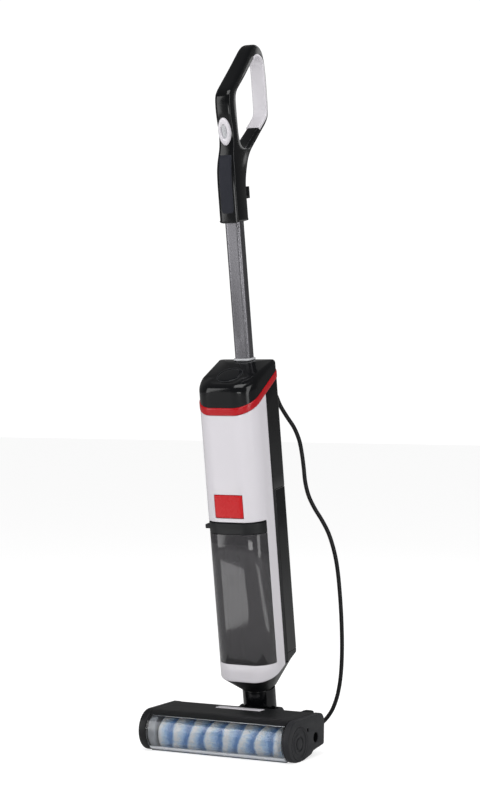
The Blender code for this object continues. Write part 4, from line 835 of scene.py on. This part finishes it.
def handlePieces():
    # side view as (depth, height): the stem's foot, the front of the grip, over the loop and down its back
    outer = [
        (0.0155, 0.8095), (0.0155, 0.84), (0.0155, 0.87), (0.0175, 0.9), (0.0205, 0.915), (0.0262, 0.93),
        (0.0275, 0.945), (0.026, 0.96), (0.0228, 0.975), (0.022, 0.998),
        *cornerArc((0.0385, 1.0045), 0.0165, 180, 125, 5), (0.07, 1.0485),
        *cornerArc((0.128, 1.0625), 0.026, 125, 12, 9), (0.157, 1.042), (0.1572, 1.015), (0.157, 0.99),
        *cornerArc((0.141, 0.975), 0.016, 10, -50, 5), (0.128, 0.9465), (0.105, 0.9305), (0.085, 0.918),
        (0.068, 0.902), (0.058, 0.883), (0.054, 0.862), (0.054, 0.835), (0.054, 0.8095), (0.053, 0.808),
        (0.035, 0.808), (0.0165, 0.808)]
    inner = [
        (0.06, 0.925), (0.052, 0.932), (0.048, 0.948), (0.047, 0.985), *cornerArc((0.06, 1.005), 0.013, 180, 125, 4),
        (0.085, 1.0375), *cornerArc((0.13, 1.051), 0.017, 125, 20, 7), (0.147, 1.038), (0.147, 0.988),
        *cornerArc((0.136, 0.979), 0.011, 8, -52, 4), (0.102, 0.9435), (0.078, 0.929), (0.068, 0.9245)]

    def half(depth, height):
        # full width on the stem, slimmer round the loop
        return 1.0 - 0.18 * smoothStep(height, 0.885, 0.93) - 0.12 * np.clip((depth - 0.06) / 0.06, 0, 1)

    def soften(line, reach):
        # a Gaussian average along the closed line rounds its corners
        share = np.exp(-0.5 * (np.arange(-3 * reach, 3 * reach + 1) / reach) ** 2)
        moved = np.stack([np.roll(line, step, axis=0) for step in range(-3 * reach, 3 * reach + 1)])
        return np.tensordot(share / share.sum(), moved, axes=1)
    loopLine, holeLine = smoothLine(outer, 320, closed=True), soften(smoothLine(inner, 170, closed=True), 3)
    rounder = smoothStep(loopLine[:, 1], 0.83, 0.9)[:, None]
    loopLine = soften(loopLine, 1) * (1 - rounder) + soften(loopLine, 4) * rounder
    grip = platePiece(
        "loop_handle", [loopLine, holeLine], -0.017, 0.017, 0.004, glossBlack, "black_gloss", place=fromBody,
        halfShare=half, deep=0.0095)
    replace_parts(grip, "handle_left", "handle_right")
    # the pale pad lines the inside of the rear bar and takes half its thickness
    inside = holeLine[:, 0] > 0.117
    first = int(np.flatnonzero(inside & ~np.roll(inside, 1))[0])
    pad = np.roll(holeLine, -first, axis=0)[:int(inside.sum())]
    outwards = pad - holeLine.mean(axis=0)
    normal = inwardNormals(pad, False)
    normal *= np.sign(np.sum(normal * outwards, axis=1, keepdims=True))
    padLine = np.concatenate([pad - normal * 0.0004, (pad + normal * 0.0056)[::-1]])
    padPiece = platePiece(
        "grip_pad", [padLine], -0.0124, 0.0124, 0.0014, glossWhite, "white_gloss", place=fromBody, deep=0.004)
    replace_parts(padPiece, "grip_insert")
    # oval bezel: its profile runs from the well's floor over a raised rim to below the stem's surface
    lean = math.radians(6)
    out, up = np.array([0, -math.cos(lean), -math.sin(lean)]), np.array([0, -math.sin(lean), math.cos(lean)])
    rim = roundedProfile(
        [(0.02, -0.0004), (0.5, -0.0004), (0.54, 0.0028), (0.66, 0.0034), (0.9, 0.003), (1.0, 0.0008), (1.0, -0.004),
        (0.02, -0.004)], 0.08, 5)
    turn = np.linspace(0, 2 * np.pi, 60, endpoint=False)[None, :, None]
    oval = (
        np.array([0, 0.024, 0.953]) + rim[:, None, :1] * (0.0106 * np.cos(turn) * np.array([1.0, 0, 0]) + 0.0222
        * np.sin(turn) * up) + rim[:, None, 1:] * out)
    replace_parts(gridPiece("switch_surround", fromBody(oval), glossWhite, "white_gloss"), "switch_bezel")

    def face(x, w):
        return np.interp(w, [0.81, 0.87, 0.9, 0.915, 0.93], [0.0155, 0.0155, 0.0175, 0.0203, 0.0256])
    cover = gridPiece(
        "stem_front", fromBody(pillow(0.0146, 0.8086, 0.929, face, 0.0009, 0.0052, 0.66, 9.0, 33, 81)), softStem,
        "stem_matte", closeColumns=False, outward=False)
    thicken(cover, 0.0012)
    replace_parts(cover, "stem_cover")


handlePieces()
print("body and handle drawn")

headArc = (-0.0065, 0.033)       # centre of the head's round front, as (y, z)
rollerZ = 0.0282


def circleLine(centre, radius, count=56):
    return cornerArc(centre, radius, 0, 360, count + 1)[:-1]


def endLine():
    foot = roundedProfile(
        [(0.086, 0.05), (0.085, 0.0165), (0.047, 0.0106), (0.042, 0.006), (0.014, 0.0002), (-0.002, 0.0)],
        0.0035)[1:-1]
    return np.concatenate([
        cornerArc(headArc, 0.033, 270, 90, 48), cornerArc((0.0705, 0.052), 0.0155, 84, 2, 12), foot])


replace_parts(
    platePiece("drive_side_end", [endLine()], -0.136, -0.122, 0.0024, satinBlack, "black_satin", "head"),
    "left_end_housing")
# moulded inner wall at the drive side, seen through the window
platePiece(
    "drive_side_wall", [circleLine((-0.004, 0.032), 0.028)], -0.1218, -0.1092, 0.002, palePlastic, "grey_plastic",
    "head")
capLoops = [
    endLine(), circleLine((0, rollerZ), 0.0262), circleLine((0.056, 0.031), 0.0078, 36),
    circleLine((0.0285, 0.0465), 0.0026, 20)]
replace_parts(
    platePiece("brush_end_cap", capLoops, 0.1245, 0.136, 0.0018, capGrey, "black_satin", "head"), "right_end_cap")
hub = roundedProfile(
    [(0.0003, 0.0004), (0.0088, 0.0004), (0.0092, -0.0014), (0.0118, -0.0014), (0.0122, 0.0002), (0.016, 0.0002),
    (0.0168, -0.001), (0.0228, -0.0014), (0.0236, 0.0), (0.0261, -0.0002), (0.0261, -0.0105), (0.0003, -0.0105)],
    0.0005)
hubPiece = gridPiece(
    "cap_hub_rings", turnedOn(hub, (0.136, 0, rollerZ), (1, 0, 0), 72, fromHead), capGrey, "black_satin", "head")
# the screw and pin wells are lined with near-black: painted shade in their depths
for label, at, radius in (
        ("cap_screw_well", (0.136, 0.056, 0.031), 0.0078), ("cap_pin_well", (0.136, 0.0285, 0.0465), 0.0026)):
    well = [
        (radius, -0.001), (radius * 0.93, -0.0012), (radius * 0.88, -0.0055), (0.0002, -0.0058), (0.0002, -0.008),
        (radius, -0.008)]
    gridPiece(label, turnedOn(well, at, (1, 0, 0), 40, fromHead), shadowGap, "black_satin", "head", closeRows=True)

windowLine = np.concatenate([
    cornerArc(headArc, 0.033, 129, 247, 50), [(-0.021, 0.001), (-0.017, 0.0012), (-0.0172, 0.004)],
    cornerArc(headArc, 0.0312, 245, 129, 50)])
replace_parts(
    platePiece("clear_window", [windowLine], -0.1214, 0.1239, 0.0004, clearWindow, "clear_window", "roller_cover"),
    "roller_window")
# thick lip along the window's lower edge, near-white as a painted highlight for the light it gathers
lipLine = np.concatenate([cornerArc(headArc, 0.0334, 229, 249, 14), cornerArc(headArc, 0.0306, 249, 229, 14)])
platePiece("window_lip", [lipLine], -0.121, 0.1235, 0.0006, lipHighlightPaint, "clear_window", "roller_cover")
bandLine = np.concatenate([cornerArc(headArc, 0.033, 104, 128.3, 14), cornerArc(headArc, 0.03, 128.3, 106, 14)])
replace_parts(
    platePiece("cover_top_band", [bandLine], -0.1214, 0.1239, 0.0008, satinBlack, "black_satin", "roller_cover"),
    "cover_band")
badgeShape = {"half": 0.041, "front": 0.0444, "back": 0.0616, "frontRadius": 0.002, "backRadius": 0.002}
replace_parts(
    blockPiece("head_top_strip", badgeShape, 0.0659, 0.0672, 0.0005, glossWhite, "white_gloss", "head", fromHead),
    "badge_strip")

for side, sign in (("left", -1), ("right", 1)):
    at, axis = (sign * 0.048, 0.118, 0.022), (1, 0, 0)
    tyre = roundedProfile(
        [(0.015, 0.0), (0.015, -0.0062), (0.0205, -0.007), (0.022, -0.0046), (0.022, -0.0008), (0.0214, 0.0),
        (0.022, 0.0008), (0.022, 0.0046), (0.0205, 0.007), (0.015, 0.0062), (0.015, 0.0)], 0.0008)[:-1]
    wheel = gridPiece(
        f"{side}_tyre", turnedOn(tyre, at, axis, 72, fromHead), rubber, "black_rubber", f"{side}_wheel",
        closeRows=True)
    disc = roundedProfile(
        [(0.0033, 0.0), (0.0033, -0.0064), (0.006, -0.0064), (0.0068, -0.0046), (0.013, -0.0046), (0.015, -0.006),
        (0.015, 0.006), (0.013, 0.0046), (0.0068, 0.0046), (0.006, 0.0064), (0.0033, 0.0064), (0.0033, 0.0)],
        0.0006)[:-1]
    gridPiece(
        f"{side}_wheel_hub", turnedOn(disc, at, axis, 56, fromHead), greyPlastic, "grey_plastic", f"{side}_wheel",
        closeRows=True)
    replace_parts(wheel, f"wheel_{side}")

pile = {"low": -0.106, "high": 0.1145, "pitch": 0.03, "radius": 0.0269, "columns": 250, "rows": 290, "strands": 7000}


def bandGap(x, angle):
    # 1 in the parting between two turns of the wound pile, fading slowly to 0 on one side and fast on the other:
    # the bands are a spiral whose edge wanders with three waves to the turn
    turn = x / pile["pitch"] + angle / (2 * np.pi) + 0.07 * np.sin(3 * angle + 70 * x)
    share = np.mod(turn, 1.0)
    return np.where(share < 0.78, share / 0.78, (1 - share) / 0.22) ** 1.7


def cloudy(rng, shape, size):
    # random heights, smoothed by a Gaussian in frequency so that lumps are about size steps across
    waves = np.hypot(np.fft.fftfreq(shape[0])[:, None], np.fft.fftfreq(shape[1])[None, :])
    field = np.fft.ifft2(np.fft.fft2(rng.normal(size=shape)) * np.exp(-(waves * size) ** 2)).real
    return field / field.std()


def rollerPieces():
    rng = np.random.default_rng(11)
    shape = (pile["columns"], pile["rows"])
    x = np.linspace(pile["low"], pile["high"], pile["columns"])[:, None]
    angle = np.linspace(0, 2 * np.pi, pile["rows"], endpoint=False)[None, :]
    gap = bandGap(x, angle)
    lumps, grit = cloudy(rng, shape, 5.0), cloudy(rng, shape, 2.0)
    radius = pile["radius"] + 0.0006 - 0.0032 * gap + 0.00028 * lumps + 0.00012 * grit
    edge = np.minimum(x - pile["low"], pile["high"] - x)
    radius = np.clip(radius, 0.022, 0.0277) - 0.0035 * (1 - smoothStep(edge, 0, 0.005))
    across = np.broadcast_to(x, shape)
    points = np.stack([across, radius * np.cos(angle), rollerZ + radius * np.sin(angle)], axis=-1)
    # painted shade: the pile's colour deepens with the depth of the gap between turns
    shade = np.clip(gap - 0.06 * lumps, -0.3, 1.1)
    sleeve = gridPiece("roller_pile", fromHead(points), microfibre, "roller_cloth", "roller", marks={"gap": shade})
    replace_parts(sleeve, "roller_sleeve")
    # loose strands: three-sided spikes that lean off the pile
    n = pile["strands"]
    at = rng.uniform(pile["low"] + 0.001, pile["high"] - 0.001, n)
    turn = rng.uniform(0, 2 * np.pi, n)
    where = bandGap(at, turn)
    out = np.stack([np.zeros(n), np.cos(turn), np.sin(turn)], axis=-1)
    around = np.stack([np.zeros(n), -np.sin(turn), np.cos(turn)], axis=-1)
    along = np.array([1.0, 0, 0])
    foot = np.column_stack([at, np.zeros(n), np.full(n, rollerZ)]) + out * (0.0258 - 0.0018 * where)[:, None]
    lean = rng.normal(scale=0.9, size=(n, 2))
    way = out * 0.62 + around * lean[:, :1] + along * lean[:, 1:]
    way /= np.linalg.norm(way, axis=1, keepdims=True)
    tip = foot + way * rng.uniform(0.0016, 0.0028, n)[:, None]
    reach = np.hypot(tip[:, 1], tip[:, 2] - rollerZ)
    tip[:, 1:] = (tip[:, 1:] - (0, rollerZ)) * np.minimum(1, 0.0282 / reach)[:, None] + (0, rollerZ)
    corners = [foot + 0.00034 * (math.cos(a) * around + math.sin(a) * along) for a in (0, 2.1, 4.2)]
    vertices = np.stack(corners + [tip], axis=1).reshape(-1, 3)
    first = np.arange(n)[:, None] * 4
    faces = np.concatenate([first + face for face in ((0, 1, 3), (1, 2, 3), (2, 0, 3))]).tolist()
    # painted shade and light: each strand's feet are coloured deeper blue and its tip paler
    colour = np.repeat(where, 4) * 0.7 + np.tile([0.12, 0.12, 0.12, -0.25], n)
    finishMesh(
        "roller_strands", fromHead(vertices), faces, microfibre, "roller_cloth", "roller", outward=False, smooth=180,
        marks={"gap": colour})


rollerPieces()
print("head and roller drawn")
